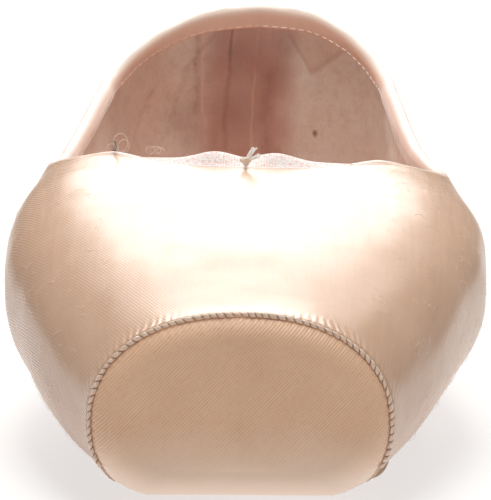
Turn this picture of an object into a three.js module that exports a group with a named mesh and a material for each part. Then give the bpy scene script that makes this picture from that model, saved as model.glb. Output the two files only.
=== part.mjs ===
// A pointe shoe, standing unworn on its sole. Millimetres, +Z up, toe towards -Y, heel towards +Y.
// The origin is on the floor, under the middle of the shoe's length and width.
// Every piece is worked out from one last: a function of the place along the shoe and the angle round it.
import * as THREE from "three";
import { mergeVertices } from "three/addons/utils/BufferGeometryUtils.js";

// Driving dimensions of the last.
const LENGTH = 236; // platform face to the back of the heel
const HEEL_AXIS = 205; // from the toe; behind it the sections turn about an upright axis
const HEEL_ROUND = 48; // length of a quarter turn round the heel, along the wall
const BACK = HEEL_AXIS + HEEL_ROUND; // the station of the heel's back seam
const PLATFORM_EDGE = 2.6; // rounding between the platform face and the box
const PLATFORM_LEAN = 0.1; // how far back the face leans for each millimetre up
const LEAN_FADES = 45; // the lean is gone this far behind the face
const FEATHER_DEPTH = 1.14; // the lower round is this much deeper than the flat that cuts it off

// The last's sections. at: station from the toe along the side. half: half width. wide: height of the
// widest place. crown: height over the middle. base: height of the flat bottom. square and low: exponents
// of the upper and lower round, where 2 is an ellipse and more is boxier.
const SECTIONS = [
  { at: 0, half: 20.7, wide: 14.5, crown: 29.3, base: 5.4, square: 2.2, low: 2.75 },
  { at: 12, half: 26.2, wide: 17.5, crown: 33, base: 4.5, square: 2.2, low: 2.9 },
  { at: 32, half: 33, wide: 21.5, crown: 37.6, base: 3.3, square: 2.3, low: 2.55 },
  { at: 46, half: 36.5, wide: 24, crown: 40, base: 3, square: 2.45, low: 2.35 },
  { at: 62, half: 39.8, wide: 26, crown: 42.4, base: 3, square: 2.7, low: 2.25 },
  { at: 76, half: 40.3, wide: 27, crown: 44.2, base: 3, square: 3, low: 2.25 },
  { at: 95, half: 38.8, wide: 28, crown: 47.2, base: 3.2, square: 2.75, low: 2.35 },
  { at: 130, half: 33.3, wide: 29, crown: 64, base: 4.6, square: 2.4, low: 2.35 },
  { at: 165, half: 30.6, wide: 27, crown: 78, base: 4, square: 2.2, low: 2.35 },
  { at: 188, half: 29.7, wide: 24, crown: 86, base: 3, square: 2.2, low: 2.35 },
  { at: HEEL_AXIS, half: 29.2, wide: 22, crown: 88, base: 3, square: 2.2, low: 2.35 },
  { at: HEEL_AXIS + HEEL_ROUND / 2, half: 29.8, wide: 20, crown: 88, base: 3, square: 2.2, low: 2.35 },
  { at: BACK, half: LENGTH - HEEL_AXIS, wide: 18, crown: 88, base: 3, square: 2.2, low: 2.35 },
];

// The topline: its height at each station, from the throat's middle to the heel's back.
const THROAT = 76; // station of the throat's middle, on the crown
const TOPLINE = [
  { at: THROAT, top: 44.2 },
  { at: 81, top: 44.4 },
  { at: 86, top: 44.2 },
  { at: 92, top: 42.5 },
  { at: 100, top: 40.4 },
  { at: 118, top: 38.3 },
  { at: 138, top: 38.4 },
  { at: 160, top: 40.4 },
  { at: 182, top: 41.8 },
  { at: HEEL_AXIS, top: 42.6 },
  { at: HEEL_AXIS + HEEL_ROUND / 6, top: 43.9 },
  { at: HEEL_AXIS + HEEL_ROUND / 3, top: 47 },
  { at: HEEL_AXIS + HEEL_ROUND / 2, top: 50.3 },
  { at: HEEL_AXIS + (HEEL_ROUND * 3) / 4, top: 53.7 },
  { at: BACK, top: 54.6 },
];
const THROAT_STEP = 3.5; // width gained between sections near the throat's middle
const THROAT_STEPS = 9;
const THROAT_SEARCH = 40; // these sections lie within this many millimetres of the throat's middle
const HALVINGS = 40; // of that length, to find each of them

// The upper's wall.
const WALL = [
  { at: 0, thick: 3 },
  { at: 30, thick: 2.6 },
  { at: 70, thick: 2 },
  { at: 110, thick: 1.6 },
  { at: BACK, thick: 1.6 },
];
const TOE_THICK = 4.5; // paste and layers behind the platform face
const INNER_FADES = 50; // behind this station the wall's inside keeps the outside's stations

// The outsole, a leather plate, by its distance from the toe.
const SOLE_TIP = 19;
const SOLE_END = 226;
const SOLE_THICK = 2.7;
const SOLE_WIDTHS = [
  { at: SOLE_TIP, half: 19 },
  { at: 40, half: 23.4 },
  { at: 62, half: 24.6 },
  { at: 92, half: 21 },
  { at: 130, half: 15 },
  { at: 165, half: 16 },
  { at: 195, half: 18.4 },
  { at: SOLE_END, half: 18.6 },
];
const TIP_ROUND = 15; // length of the rounded tip
const END_ROUND = 17; // length of the rounded heel end
const SOLE_EDGE = 0.7; // bevel round its edges
const GAP = 0.3; // between pieces that meet
const MARGIN = 5; // lasting margin: how far the upper reaches in under the outsole

const INSOLE_TIP = 12; // from the toe
const INSOLE_ROUND = 10; // length of its rounded tip
const INSOLE_THICK = 1.5;
const INSOLE_EDGE = 0.3;
const INSOLE_CLEAR = 0.6; // between its edge and the wall

// The platform cover and its raised seam.
const COVER_THICK = 1;
const COVER_CLEAR = 0.55; // between the cover and the curved wall
const SEAM_STATION = 2.1; // the cover's upper edge, just round the corner of the face
const COVER_UNDER = 13; // how far the cover is turned under the toe
const COVER_BLEND = 0.5; // angle over which its edge goes from the one to the other
const SEAM_LOW = -0.28; // angle at which the seam ends and the cover turns under
const SEAM_RADIUS = 0.75;

// The binding along the topline, a folded strip that straddles the wall, and the throat's casing.
const BIND_THICK = 0.7;
const BIND_CLEAR = 0.7; // between the binding and the curved wall
const BIND_OUT = 2.2; // its depth outside
const BIND_IN = 2.8; // its depth inside
const BIND_ROLL = 1.1; // how far the fold stands above the wall's edge
const FOLD_ROUND = 0.6; // from the fold's shoulders to its top
const FOLD_NARROW = 0.8; // the fold's thickness at its shoulders, of the strip's
const CASING_REACH = 19; // half width of the casing in the middle of the throat
const CASING_OUT = 1; // its depth outside
const CASING_IN = 5; // its depth inside
const CASING_LIFT = 1.4; // how far its fold stands up from the wall
const CASING_RISE = 1.4; // how much higher its two humps are
const HUMP_AT = 5.6; // from the middle to each hump
const HUMP_SPREAD = 5;

// The drawstring's knot, in the dip between the casing's humps, and its two cut ends.
const KNOT = { radius: 0.8, long: 1.1, forward: 2.2, up: 1.3 };
const STRING_RADIUS = 0.4;
const STRING_ENDS = [
  { name: "drawstring_end_left", right: 0.7, back: 0.3, up: 1.7, bow: 0.2 },
  { name: "drawstring_end_right", right: 1.8, back: 0.1, up: 0.8, bow: -0.2 },
];

// The worn-in asymmetry: the left wing stands higher than the right, the quarters lean left, and the
// heel's top leans right. at and full: stations where a lean starts and is full. from and to: heights.
const TWIST = { by: 1.1, half: 35, at: 88, spread: 45, from: 30, to: 43 };
const LEANS = [
  { by: -0.7, at: 105, full: 145, from: 10, to: 30 },
  { by: 2, at: 205, full: 240, from: 30, to: 56 },
];

const RISE = (LENGTH - COVER_CLEAR - COVER_THICK) / 2; // moves the toe's stations to the frame's Y

// Smooth curve through a table's column that keeps level stretches level.
function column(table, name) {
  const x = table.map((row) => row.at);
  const y = table.map((row) => row[name]);
  const slope = x.slice(1).map((v, i) => (y[i + 1] - y[i]) / (v - x[i]));
  const tangent = x.map((_, i) => {
    if (i === 0) return slope[0];
    if (i === x.length - 1) return slope[i - 1];
    const [a, b] = [slope[i - 1], slope[i]];
    return a * b <= 0 ? 0 : (2 * a * b) / (a + b);
  });
  return (at) => {
    const s = Math.min(Math.max(at, x[0]), x[x.length - 1]);
    let i = 0;
    while (i < x.length - 2 && s > x[i + 1]) i++;
    const h = x[i + 1] - x[i];
    const t = (s - x[i]) / h;
    const [t2, t3] = [t * t, t * t * t];
    return (
      (2 * t3 - 3 * t2 + 1) * y[i] +
      (t3 - 2 * t2 + t) * h * tangent[i] +
      (3 * t2 - 2 * t3) * y[i + 1] +
      (t3 - t2) * h * tangent[i + 1]
    );
  };
}

const halfAt = column(SECTIONS, "half");
const wideAt = column(SECTIONS, "wide");
const crownAt = column(SECTIONS, "crown");
const baseAt = column(SECTIONS, "base");
const squareAt = column(SECTIONS, "square");
const lowAt = column(SECTIONS, "low");
const toplineAt = column(TOPLINE, "top");
const thickAt = column(WALL, "thick");
const soleHalfAt = column(SOLE_WIDTHS, "half");

// The section at a station.
function section(station) {
  const corner = Math.max(0, PLATFORM_EDGE - station);
  const rounded = PLATFORM_EDGE - Math.sqrt(PLATFORM_EDGE ** 2 - corner ** 2);
  const wide = wideAt(station);
  return {
    half: halfAt(station) - rounded,
    wide,
    up: crownAt(station) - wide - rounded,
    down: wide - baseAt(station) - rounded,
    square: squareAt(station),
    low: lowAt(station),
  };
}

// Distance from the section's middle to its outline, at an angle from level (0) to the crown (90 degrees)
// or down to the bottom (-90 degrees).
function reach(shape, angle) {
  const [c, s] = [Math.abs(Math.cos(angle)), Math.abs(Math.sin(angle))];
  const above = angle >= 0;
  const n = above ? shape.square : shape.low;
  const height = above ? shape.up : shape.down * FEATHER_DEPTH;
  const round = ((c / shape.half) ** n + (s / height) ** n) ** (-1 / n);
  return above || s === 0 ? round : Math.min(round, shape.down / s);
}

// Puts a point of a section's right half (out from the middle, and up) in its place in the shoe.
function place(station, out, up) {
  if (station <= HEEL_AXIS) {
    const fade = Math.max(0, 1 - station / LEAN_FADES) ** 2;
    const lean = PLATFORM_LEAN * (up - baseAt(0)) * fade;
    return new THREE.Vector3(out, station + lean - RISE, up);
  }
  const turn = ((station - HEEL_AXIS) / HEEL_ROUND) * (Math.PI / 2);
  return new THREE.Vector3(out * Math.cos(turn), HEEL_AXIS + out * Math.sin(turn) - RISE, up);
}

// A point of the last's right side.
function last(station, angle) {
  const shape = section(station);
  const r = reach(shape, angle);
  return place(station, Math.cos(angle) * r, shape.wide + Math.sin(angle) * r);
}

// The directions along the shoe and round it on the last's surface, and the way out of it.
function directions(station, angle) {
  const step = 0.02;
  const back = Math.max(station - step, 0);
  const along = last(station + step, angle).sub(last(back, angle));
  along.divideScalar(station + step - back);
  const turn = 1e-3;
  const round = last(station, angle + turn).sub(last(station, angle - turn)).divideScalar(2 * turn);
  return { along, round, out: new THREE.Vector3().crossVectors(along, round).normalize() };
}

// A point that stands off the last's surface.
function standOff(station, angle, distance) {
  return last(station, angle).addScaledVector(directions(station, angle).out, distance);
}

// The angle at which a section reaches a height, on its upper half.
function angleAtHeight(shape, height) {
  const share = Math.min(1, Math.max(0, (height - shape.wide) / shape.up));
  const out = shape.half * (1 - share ** shape.square) ** (1 / shape.square);
  return Math.atan2(height - shape.wide, out);
}

// The angle of the topline at a station; in front of the throat the upper closes over the crown.
const throatAngle = (station) =>
  station <= THROAT ? Math.PI / 2 : angleAtHeight(section(station), toplineAt(station));

// Stations close together where the throat's edge turns, found by how far out that edge has come.
function throatStations() {
  const found = [];
  for (let i = 1; i <= THROAT_STEPS; i++) {
    let [low, high] = [THROAT, THROAT + THROAT_SEARCH];
    for (let step = 0; step < HALVINGS; step++) {
      const middle = (low + high) / 2;
      if (last(middle, throatAngle(middle)).x < i * THROAT_STEP) low = middle;
      else high = middle;
    }
    found.push((low + high) / 2);
  }
  return found;
}

const spread = (from, to, count) =>
  Array.from({ length: count }, (_, i) => from + ((to - from) * (i + 1)) / count);

const EDGE_TURNS = [0, 0.18, 0.4, 0.62, 0.82, 1];
const edgeStations = EDGE_TURNS.map((t) => PLATFORM_EDGE * (1 - Math.cos((t * Math.PI) / 2)));
const throat = throatStations();
const lastThroat = throat[throat.length - 1];

// The outsole's half width at a distance from the toe, with its rounded tip and end.
function soleHalf(s) {
  const tip = Math.min(1, (s - SOLE_TIP) / TIP_ROUND);
  const end = Math.min(1, (SOLE_END - s) / END_ROUND);
  const rounding = (t) => Math.sqrt(Math.max(0, 1 - (1 - t) ** 2));
  return soleHalfAt(s) * rounding(tip) * rounding(end);
}

// Half width of the opening under the upper, at a station: the outsole's, less the lasting margin.
const OPEN_FROM = SOLE_TIP + MARGIN;
const OPEN_END = SOLE_END - MARGIN;
function openingHalf(station) {
  if (station <= OPEN_FROM) return 0;
  if (station > HEEL_AXIS) return OPEN_END - HEEL_AXIS;
  const opened = Math.sqrt(Math.min(1, (station - OPEN_FROM) / TIP_ROUND));
  const side = (soleHalfAt(station) - MARGIN) * opened;
  const blend = Math.max(0, (station - HEEL_AXIS + 20) / 20);
  return side + (OPEN_END - HEEL_AXIS - side) * blend * blend * (3 - 2 * blend);
}

const STATIONS = [
  ...edgeStations,
  ...spread(PLATFORM_EDGE, OPEN_FROM, 4),
  ...[1, 4, 9].map((v) => OPEN_FROM + v),
  ...spread(OPEN_FROM + 9, THROAT, 7),
  ...throat,
  ...spread(lastThroat, HEEL_AXIS, 13),
  ...spread(HEEL_AXIS, BACK, 8),
];

// A closed body from its faces' corners. Corners that coincide are joined, and empty triangles left out.
function body(triangles) {
  const flat = triangles.flat();
  const position = new Float32Array(flat.length * 3);
  flat.forEach((p, i) => p.toArray(position, i * 3));
  const loose = new THREE.BufferGeometry().setAttribute(
    "position",
    new THREE.BufferAttribute(position, 3),
  );
  const joined = mergeVertices(loose, 1e-4);
  const kept = [];
  const index = joined.index.array;
  for (let i = 0; i < index.length; i += 3) {
    const [a, b, c] = index.slice(i, i + 3);
    if (a !== b && b !== c && a !== c) kept.push(a, b, c);
  }
  joined.setIndex(kept);
  joined.computeVertexNormals();
  return joined;
}

// Two triangles between two neighbouring places of two neighbouring rows.
const quad = (a, b, c, d) => [
  [a, b, c],
  [a, c, d],
];

// A skin of quads over rows of points.
function skin(rows, turned = false) {
  const faces = [];
  for (let i = 0; i + 1 < rows.length; i++)
    for (let j = 0; j + 1 < rows[i].length; j++) {
      const [a, b, c, d] = [rows[i][j], rows[i + 1][j], rows[i + 1][j + 1], rows[i][j + 1]];
      faces.push(...(turned ? quad(a, d, c, b) : quad(a, b, c, d)));
    }
  return faces;
}

const mirrored = (p) => new THREE.Vector3(-p.x, p.y, p.z);

// The faces of the left half, from those of the right.
const otherSide = (faces) => faces.map(([a, b, c]) => [mirrored(a), mirrored(c), mirrored(b)]);

// A body lofted through closed rings. Each end is covered by the triangles named by ring corners, or by
// a fan from the ring's middle.
function loft(rings, endTriangles = null) {
  const closed = rings.map((ring) => [...ring, ring[0]]);
  const cap = (ring) => {
    if (endTriangles) return endTriangles.map((corners) => corners.map((i) => ring[i]));
    const middle = ring.reduce((sum, p) => sum.add(p), new THREE.Vector3()).divideScalar(ring.length);
    return ring.map((p, i) => [middle, p, ring[(i + 1) % ring.length]]);
  };
  const end = cap(rings[rings.length - 1]).map(([a, b, c]) => [a, c, b]);
  return body([...skin(closed), ...cap(rings[0]), ...end]);
}

// Half width of a section's flat bottom, where the feather edge turns up.
const featherHalf = ({ half, low }) => half * (1 - FEATHER_DEPTH ** -low) ** (1 / low);

// The section of the upper's inside at a station, and the station where it lies.
function innerSection(station) {
  const share = Math.min(1, station / INNER_FADES);
  const at = station + TOE_THICK * (1 - share);
  const shape = section(at);
  const rounded = halfAt(station) - section(station).half;
  for (const side of ["half", "up", "down"]) shape[side] -= thickAt(station) + rounded;
  return { at, shape };
}

// The upper: an outside and an inside skin over the right half, joined along the topline, the opening
// underneath and the toe, then mirrored.
const UNDER_STEPS = 3; // from the opening underneath to the feather edge
const OUTER_STEPS = 18; // from the feather edge to the topline or the crown
const INNER_STEPS = 12;
function upper() {
  const profile = (station, { at, shape }, steps) => {
    const from = -Math.atan2(shape.down, openingHalf(station));
    const feather = -Math.atan2(shape.down, featherHalf(shape));
    const angles = [from, ...spread(from, feather, UNDER_STEPS)];
    angles.push(...spread(feather, throatAngle(station), steps));
    return angles.map((angle) => {
      const r = reach(shape, angle);
      return place(at, Math.cos(angle) * r, shape.wide + Math.sin(angle) * r);
    });
  };
  const outside = STATIONS.map((s) => profile(s, { at: s, shape: section(s) }, OUTER_STEPS));
  const inside = STATIONS.map((s) => profile(s, innerSection(s), INNER_STEPS));
  const rim = (from, end) => [outside, inside].map((rows) => rows.slice(from).map((row) => row.at(end)));
  const faces = [
    ...skin(outside),
    ...skin(inside, true),
    ...skin(rim(STATIONS.indexOf(THROAT), -1), true),
    ...skin(rim(STATIONS.indexOf(OPEN_FROM), 0)),
  ];
  const face = (row, turned) => skin([row.map(mirrored), row], turned);
  return body([...faces, ...otherSide(faces), ...face(outside[0], false), ...face(inside[0], true)]);
}

// The ring of a flat plate's section: half width, bottom, top, and its edges' bevel.
function plateRing(half, station, bottom, top, bevel) {
  const corners = [
    [half - bevel, bottom],
    [half, bottom + bevel],
    [half, top - bevel],
    [half - bevel, top],
  ];
  const ring = [...corners, ...corners.map(([x, z]) => [-x, z]).reverse()];
  return ring.map(([x, z]) => new THREE.Vector3(x, station - RISE, z));
}

// Distances along a plate, closer together in its two round ends.
const FIRST_TURN = 0.6; // the share of a step by which a plate's first ring stands in from its end
function plateStations(from, to, fromRound, toRound, turns, middle) {
  const turn = (i) => ((i + FIRST_TURN) / turns) * (Math.PI / 2);
  const ease = Array.from({ length: turns }, (_, i) => 1 - Math.cos(turn(i)));
  return [
    ...ease.map((t) => from + fromRound * t),
    ...spread(from + fromRound, to - toRound, middle).slice(0, -1),
    ...ease.map((t) => to - toRound * t).reverse(),
  ];
}

function outsole() {
  const at = plateStations(SOLE_TIP, SOLE_END, TIP_ROUND, END_ROUND, 6, 16);
  return loft(
    at.map((s) => {
      const top = baseAt(s) - GAP;
      return plateRing(soleHalf(s), s, top - SOLE_THICK, top, SOLE_EDGE);
    }),
  );
}

// The inside of the shoe's flat bottom: how wide it is at a distance from the toe.
const heelShape = { half: LENGTH - HEEL_AXIS - thickAt(BACK), low: lowAt(BACK) };
const innerHeel = featherHalf(heelShape) - INSOLE_CLEAR;
function innerHalf(s) {
  const side = featherHalf({ half: halfAt(s) - thickAt(s), low: lowAt(s) }) - INSOLE_CLEAR;
  const behind = Math.max(0, s - HEEL_AXIS) / innerHeel;
  return side * Math.sqrt(Math.max(0, 1 - behind ** 2));
}

function insole() {
  const at = plateStations(INSOLE_TIP, HEEL_AXIS + innerHeel, INSOLE_ROUND, innerHeel, 6, 16);
  return loft(
    at.map((s) => {
      const tip = Math.min(1, (s - INSOLE_TIP) / INSOLE_ROUND);
      const half = innerHalf(s) * Math.sqrt(1 - (1 - tip) ** 2);
      const bottom = baseAt(s) + thickAt(s) + GAP;
      return plateRing(half, s, bottom, bottom + INSOLE_THICK, INSOLE_EDGE);
    }),
  );
}

// The platform cover: a cap over the face, turned just round its upper edge and well under the toe.
const COVER_ROWS = 5;
const COVER_STEPS = 24;
function coverEdge(angle) {
  const under = Math.min(1, Math.max(0, (SEAM_LOW - angle) / COVER_BLEND));
  return SEAM_STATION + (COVER_UNDER - SEAM_STATION) * under * under * (3 - 2 * under);
}
function platformCover() {
  const sheet = (distance) =>
    Array.from({ length: COVER_ROWS + 1 }, (_, i) =>
      Array.from({ length: COVER_STEPS + 1 }, (_, j) => {
        const angle = -Math.PI / 2 + (Math.PI * j) / COVER_STEPS;
        const end = coverEdge(angle);
        const t = (i / COVER_ROWS) ** 2;
        const p = standOff(end * t, angle, distance);
        if (j === 0 || j === COVER_STEPS) p.x = 0;
        return p;
      }),
    );
  const outer = sheet(COVER_CLEAR + COVER_THICK);
  const inner = sheet(COVER_CLEAR);
  const faces = [
    ...skin(outer),
    ...skin(inner, true),
    ...skin([outer[COVER_ROWS], inner[COVER_ROWS]]),
  ];
  const face = (row, turned) => skin([row.map(mirrored), row], turned);
  return body([...faces, ...otherSide(faces), ...face(outer[0], false), ...face(inner[0], true)]);
}

// A round cord through points, closed at both ends.
function cord(points, radius, sides, steps) {
  const outline = new THREE.Shape();
  for (let i = 0; i < sides; i++) {
    const a = (i / sides) * 2 * Math.PI;
    const method = i ? "lineTo" : "moveTo";
    outline[method](radius * Math.cos(a), radius * Math.sin(a));
  }
  const path = new THREE.CatmullRomCurve3(points);
  return new THREE.ExtrudeGeometry(outline, { steps, extrudePath: path, bevelEnabled: false });
}

// The raised seam that joins the cover to the vamp, over the top of the platform.
const SEAM_STEPS = 24;
function platformSeam() {
  const station = SEAM_STATION + GAP + SEAM_RADIUS;
  const right = Array.from({ length: SEAM_STEPS + 1 }, (_, i) => {
    const angle = SEAM_LOW + ((Math.PI / 2 - SEAM_LOW) * i) / SEAM_STEPS;
    const p = standOff(station, angle, SEAM_RADIUS + GAP);
    if (i === SEAM_STEPS) p.x = 0;
    return p;
  });
  const left = right.slice(0, -1).map(mirrored).reverse();
  return cord([...right, ...left], SEAM_RADIUS, 8, 48);
}

// Places along the topline's right side, from the throat's middle to the heel's back.
const EDGE = STATIONS.filter((s) => s >= THROAT).map((station) => ({
  station,
  angle: throatAngle(station),
}));

// A frame at one place of the topline: on the edge, down the wall from it, and out of the wall.
function edgeFrame(i) {
  const { station, angle } = EDGE[i];
  const point = (k) => last(EDGE[k].station, EDGE[k].angle);
  const before = i === 0 ? mirrored(point(1)) : point(i - 1);
  const after = i === EDGE.length - 1 ? mirrored(point(i - 1)) : point(i + 1);
  const tangent = after.sub(before).normalize();
  const { along, round, out } = directions(station, angle);
  const down = new THREE.Vector3().crossVectors(tangent, out).normalize();
  return { station, angle, along, round, down, middle: i === 0 || i === EDGE.length - 1 };
}

// The place on the last that is a distance down the wall from the topline, or up past it.
function downFrom({ station, angle, along, round, down }, distance) {
  const [aa, ar, rr] = [along.dot(along), along.dot(round), round.dot(round)];
  const [da, dr] = [down.dot(along), down.dot(round)];
  const area = aa * rr - ar * ar;
  return {
    station: station + (distance * (da * rr - dr * ar)) / area,
    angle: angle + (distance * (dr * aa - da * ar)) / area,
  };
}

// A point beside the wall near the topline: down is the distance from the edge, and beyond is how far
// it stands off the wall's outside (above 0) or its inside (below 0).
function byTheEdge(frame, down, beyond) {
  const { station, angle } = downFrom(frame, down);
  const { out } = directions(station, angle);
  let p = last(station, angle);
  if (beyond <= 0) {
    const { at, shape } = innerSection(station);
    const r = reach(shape, angle);
    p = place(at, Math.cos(angle) * r, shape.wide + Math.sin(angle) * r);
  }
  p.addScaledVector(out, beyond);
  if (frame.middle) p.x = 0;
  return p;
}

const NEARLY_ON = 0.01; // stands for on the wall's outside, where 0 is on its inside
const FOLD_TOP = [3, 6]; // the ring corners from one of the fold's shoulders to the other, end left out

// A folded strip's section at one place: its depth outside and inside, and how far its fold is lifted.
function foldRing(frame, outer, inner, lift = 0) {
  const clear = BIND_CLEAR;
  const thick = clear + BIND_THICK;
  const roll = clear + BIND_ROLL;
  const shoulder = roll - FOLD_ROUND;
  const ring = [
    [outer, clear],
    [outer, thick],
    [-clear, thick],
    [-shoulder, thick * FOLD_NARROW],
    [-shoulder, -thick * FOLD_NARROW],
    [-clear, -thick],
    [inner, -thick],
    [inner, -clear],
    [-clear, -clear],
    [-clear, clear],
  ].map(([w, n]) => byTheEdge(frame, w, n));
  const [outside, inside] = [NEARLY_ON, 0].map((off) => byTheEdge(frame, -roll, off));
  const top = outside.add(inside).multiplyScalar(0.5);
  ring.splice(4, 0, top);
  for (const raised of ring.slice(...FOLD_TOP)) raised.z += lift;
  return ring;
}

// The triangles over a folded strip's cut end.
const FOLD_END = [
  [0, 1, 2],
  [0, 2, 10],
  [10, 2, 3],
  [10, 3, 4],
  [10, 4, 9],
  [9, 4, 5],
  [9, 5, 6],
  [9, 6, 7],
  [9, 7, 8],
];

const edgeFrames = EDGE.map((_, i) => edgeFrame(i));
const across = (frame) => last(frame.station, frame.angle).x;
const splitAt = edgeFrames.findIndex((frame) => across(frame) > CASING_REACH);

// A ring mirrored to the left side keeps its first corner first, so that the loft doesn't twist.
const leftRing = (ring) => ring.map(mirrored);

function collarBinding() {
  const rings = edgeFrames
    .slice(splitAt)
    .map((f) => foldRing(f, BIND_OUT, BIND_IN));
  const left = rings.slice(0, -1).map(leftRing).reverse();
  return loft([...rings, ...left], FOLD_END);
}

// How far the casing's fold is lifted, at a distance across the throat.
function casingLift(x) {
  const hump = Math.exp(-(((Math.abs(x) - HUMP_AT) / HUMP_SPREAD) ** 2));
  const ends = Math.max(0, 1 - (Math.abs(x) / CASING_REACH) ** 4);
  return (CASING_LIFT + CASING_RISE * hump) * ends;
}

function throatCasing() {
  const half = edgeFrames
    .slice(0, splitAt)
    .map((f) => foldRing(f, CASING_OUT, CASING_IN, casingLift(across(f))));
  const left = half.slice(1).map(leftRing).reverse();
  return loft([...left, ...half], FOLD_END);
}

// The middle of the drawstring's knot, on the outside of the casing.
const throatEdge = last(THROAT, Math.PI / 2);
const knotAt = throatEdge.clone().add(new THREE.Vector3(0, -KNOT.forward, KNOT.up));

function drawstringKnot() {
  return new THREE.SphereGeometry(KNOT.radius, 10, 6).scale(KNOT.long / KNOT.radius, 1, 1);
}

// A short cut end: it leaves the knot and leans over the casing.
function drawstringEnd({ right, back, up, bow }) {
  const way = new THREE.Vector3(right, back, up);
  const from = way.clone().normalize().multiplyScalar(KNOT.long + GAP);
  const middle = from.clone().addScaledVector(way, 0.5).add(new THREE.Vector3(-bow, 0, bow));
  return cord([from, middle, from.clone().add(way)], STRING_RADIUS, 8, 5);
}

const finish = (color, roughness, metalness = 0) =>
  new THREE.MeshStandardMaterial({ color, roughness, metalness });
const satin = finish(0xf3dccb, 0.35);
const tan = finish(0xd9b79f, 0.5);
const leather = finish(0xcdb096, 0.7);
const lining = finish(0xc09080, 0.9);
const mesh = finish(0xf0dcd4, 0.9);
const thread = finish(0xf7f0ea, 0.8);

// Moves a point by the shoe's asymmetry, which is nothing at the sole.
const ramp = (value, from, to) => THREE.MathUtils.smoothstep(value, from, to);
function sway(p) {
  const station = p.y + RISE;
  const near = Math.exp(-(((station - TWIST.at) / TWIST.spread) ** 2));
  const twist = (TWIST.by * near * ramp(p.z, TWIST.from, TWIST.to) * -p.x) / TWIST.half;
  let x = p.x;
  for (const { by, at, full, from, to } of LEANS) x += by * ramp(station, at, full) * ramp(p.z, from, to);
  return new THREE.Vector3(x, p.y, p.z + twist);
}

function piece(name, geometry, material, where = new THREE.Vector3()) {
  const corners = geometry.getAttribute("position");
  geometry.translate(where.x, where.y, where.z);
  for (let i = 0; i < corners.count; i++) {
    const { x, y, z } = sway(new THREE.Vector3().fromBufferAttribute(corners, i));
    corners.setXYZ(i, x, y, z);
  }
  geometry.computeVertexNormals();
  const made = new THREE.Mesh(geometry, material);
  made.name = name;
  return made;
}

const shoe = new THREE.Group();
shoe.add(
  piece("upper", upper(), satin),
  piece("outsole", outsole(), leather),
  piece("insole", insole(), lining),
  piece("platform_cover", platformCover(), tan),
  piece("platform_seam", platformSeam(), tan),
  piece("collar_binding", collarBinding(), satin),
  piece("throat_casing", throatCasing(), mesh),
  piece("drawstring_knot", drawstringKnot(), thread, knotAt),
  ...STRING_ENDS.map((end) => piece(end.name, drawstringEnd(end), thread, knotAt)),
);

export default shoe;
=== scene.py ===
"""A pointe shoe standing on its sole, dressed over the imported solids.

Shapes are worked out in millimetres from the same last as the solids: a function of the station along
the shoe and the angle round it. Stations run from the toe (0) to the back of the heel (BACK). Angles
run from level (0) up to the crown (90 degrees) or down to the flat bottom (-90 degrees).
"""
import math

import bpy
import numpy as np
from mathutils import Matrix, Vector
from mathutils.kdtree import KDTree


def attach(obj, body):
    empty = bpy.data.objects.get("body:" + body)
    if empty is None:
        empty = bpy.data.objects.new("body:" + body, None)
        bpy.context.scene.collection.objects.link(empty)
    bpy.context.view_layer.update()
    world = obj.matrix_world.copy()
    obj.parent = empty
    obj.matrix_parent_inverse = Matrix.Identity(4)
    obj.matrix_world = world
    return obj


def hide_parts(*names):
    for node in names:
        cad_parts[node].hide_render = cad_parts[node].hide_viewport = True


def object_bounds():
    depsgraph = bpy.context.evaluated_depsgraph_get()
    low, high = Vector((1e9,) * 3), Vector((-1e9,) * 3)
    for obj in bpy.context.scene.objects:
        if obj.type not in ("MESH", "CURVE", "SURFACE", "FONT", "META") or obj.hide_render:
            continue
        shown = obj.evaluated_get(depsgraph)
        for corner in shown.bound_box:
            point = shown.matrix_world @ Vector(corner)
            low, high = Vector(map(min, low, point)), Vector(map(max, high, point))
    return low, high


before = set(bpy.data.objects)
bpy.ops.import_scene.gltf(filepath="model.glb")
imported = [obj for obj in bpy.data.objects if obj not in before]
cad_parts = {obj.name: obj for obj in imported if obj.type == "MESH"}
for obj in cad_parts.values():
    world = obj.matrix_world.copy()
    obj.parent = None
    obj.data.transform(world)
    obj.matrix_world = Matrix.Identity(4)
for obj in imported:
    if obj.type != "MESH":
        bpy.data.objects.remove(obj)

CAD_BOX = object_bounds()
MM = 0.001
SIDES = (1, -1)  # the shoe's right and left halves
rng = np.random.default_rng(7)

# The last's driving dimensions, as in the solids.
HEEL_AXIS, HEEL_ROUND = 205, 48
BACK = HEEL_AXIS + HEEL_ROUND
LENGTH = 236
PLATFORM_EDGE, PLATFORM_LEAN, LEAN_FADES = 2.6, 0.1, 45
FEATHER_DEPTH = 1.14
THROAT = 76
TOE_THICK, INNER_FADES = 4.5, 50
SOLE_TIP, SOLE_END, SOLE_THICK = 19, 226, 2.7
TIP_ROUND, END_ROUND = 15, 17
GAP, MARGIN = 0.3, 5
INSOLE_TIP, INSOLE_ROUND, INSOLE_THICK, INSOLE_CLEAR = 12, 10, 1.5, 0.6
COVER_THICK, COVER_CLEAR, COVER_UNDER = 1, 0.55, 13
SEAM_STATION, SEAM_LOW = 2.1, -0.28
BIND_OUT, BIND_IN = 2.2, 2.8
CASING_REACH, CASING_OUT, CASING_IN = 19, 1, 5
CASING_LIFT, CASING_RISE, HUMP_AT, HUMP_SPREAD = 1.4, 1.4, 5.6, 5
RISE = (LENGTH - COVER_CLEAR - COVER_THICK) / 2
STITCH = 1.2  # one stitch of the platform seam
QUARTER = math.pi / 2


def rows(names, *values):
    """A short table of numbers: one array for each named column."""
    return dict(zip(names.split(), np.array(values, float).T))


def table(names, *values):
    """A short table: one dict for each row, with the named columns."""
    return [dict(zip(names.split(), row)) for row in values]


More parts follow.
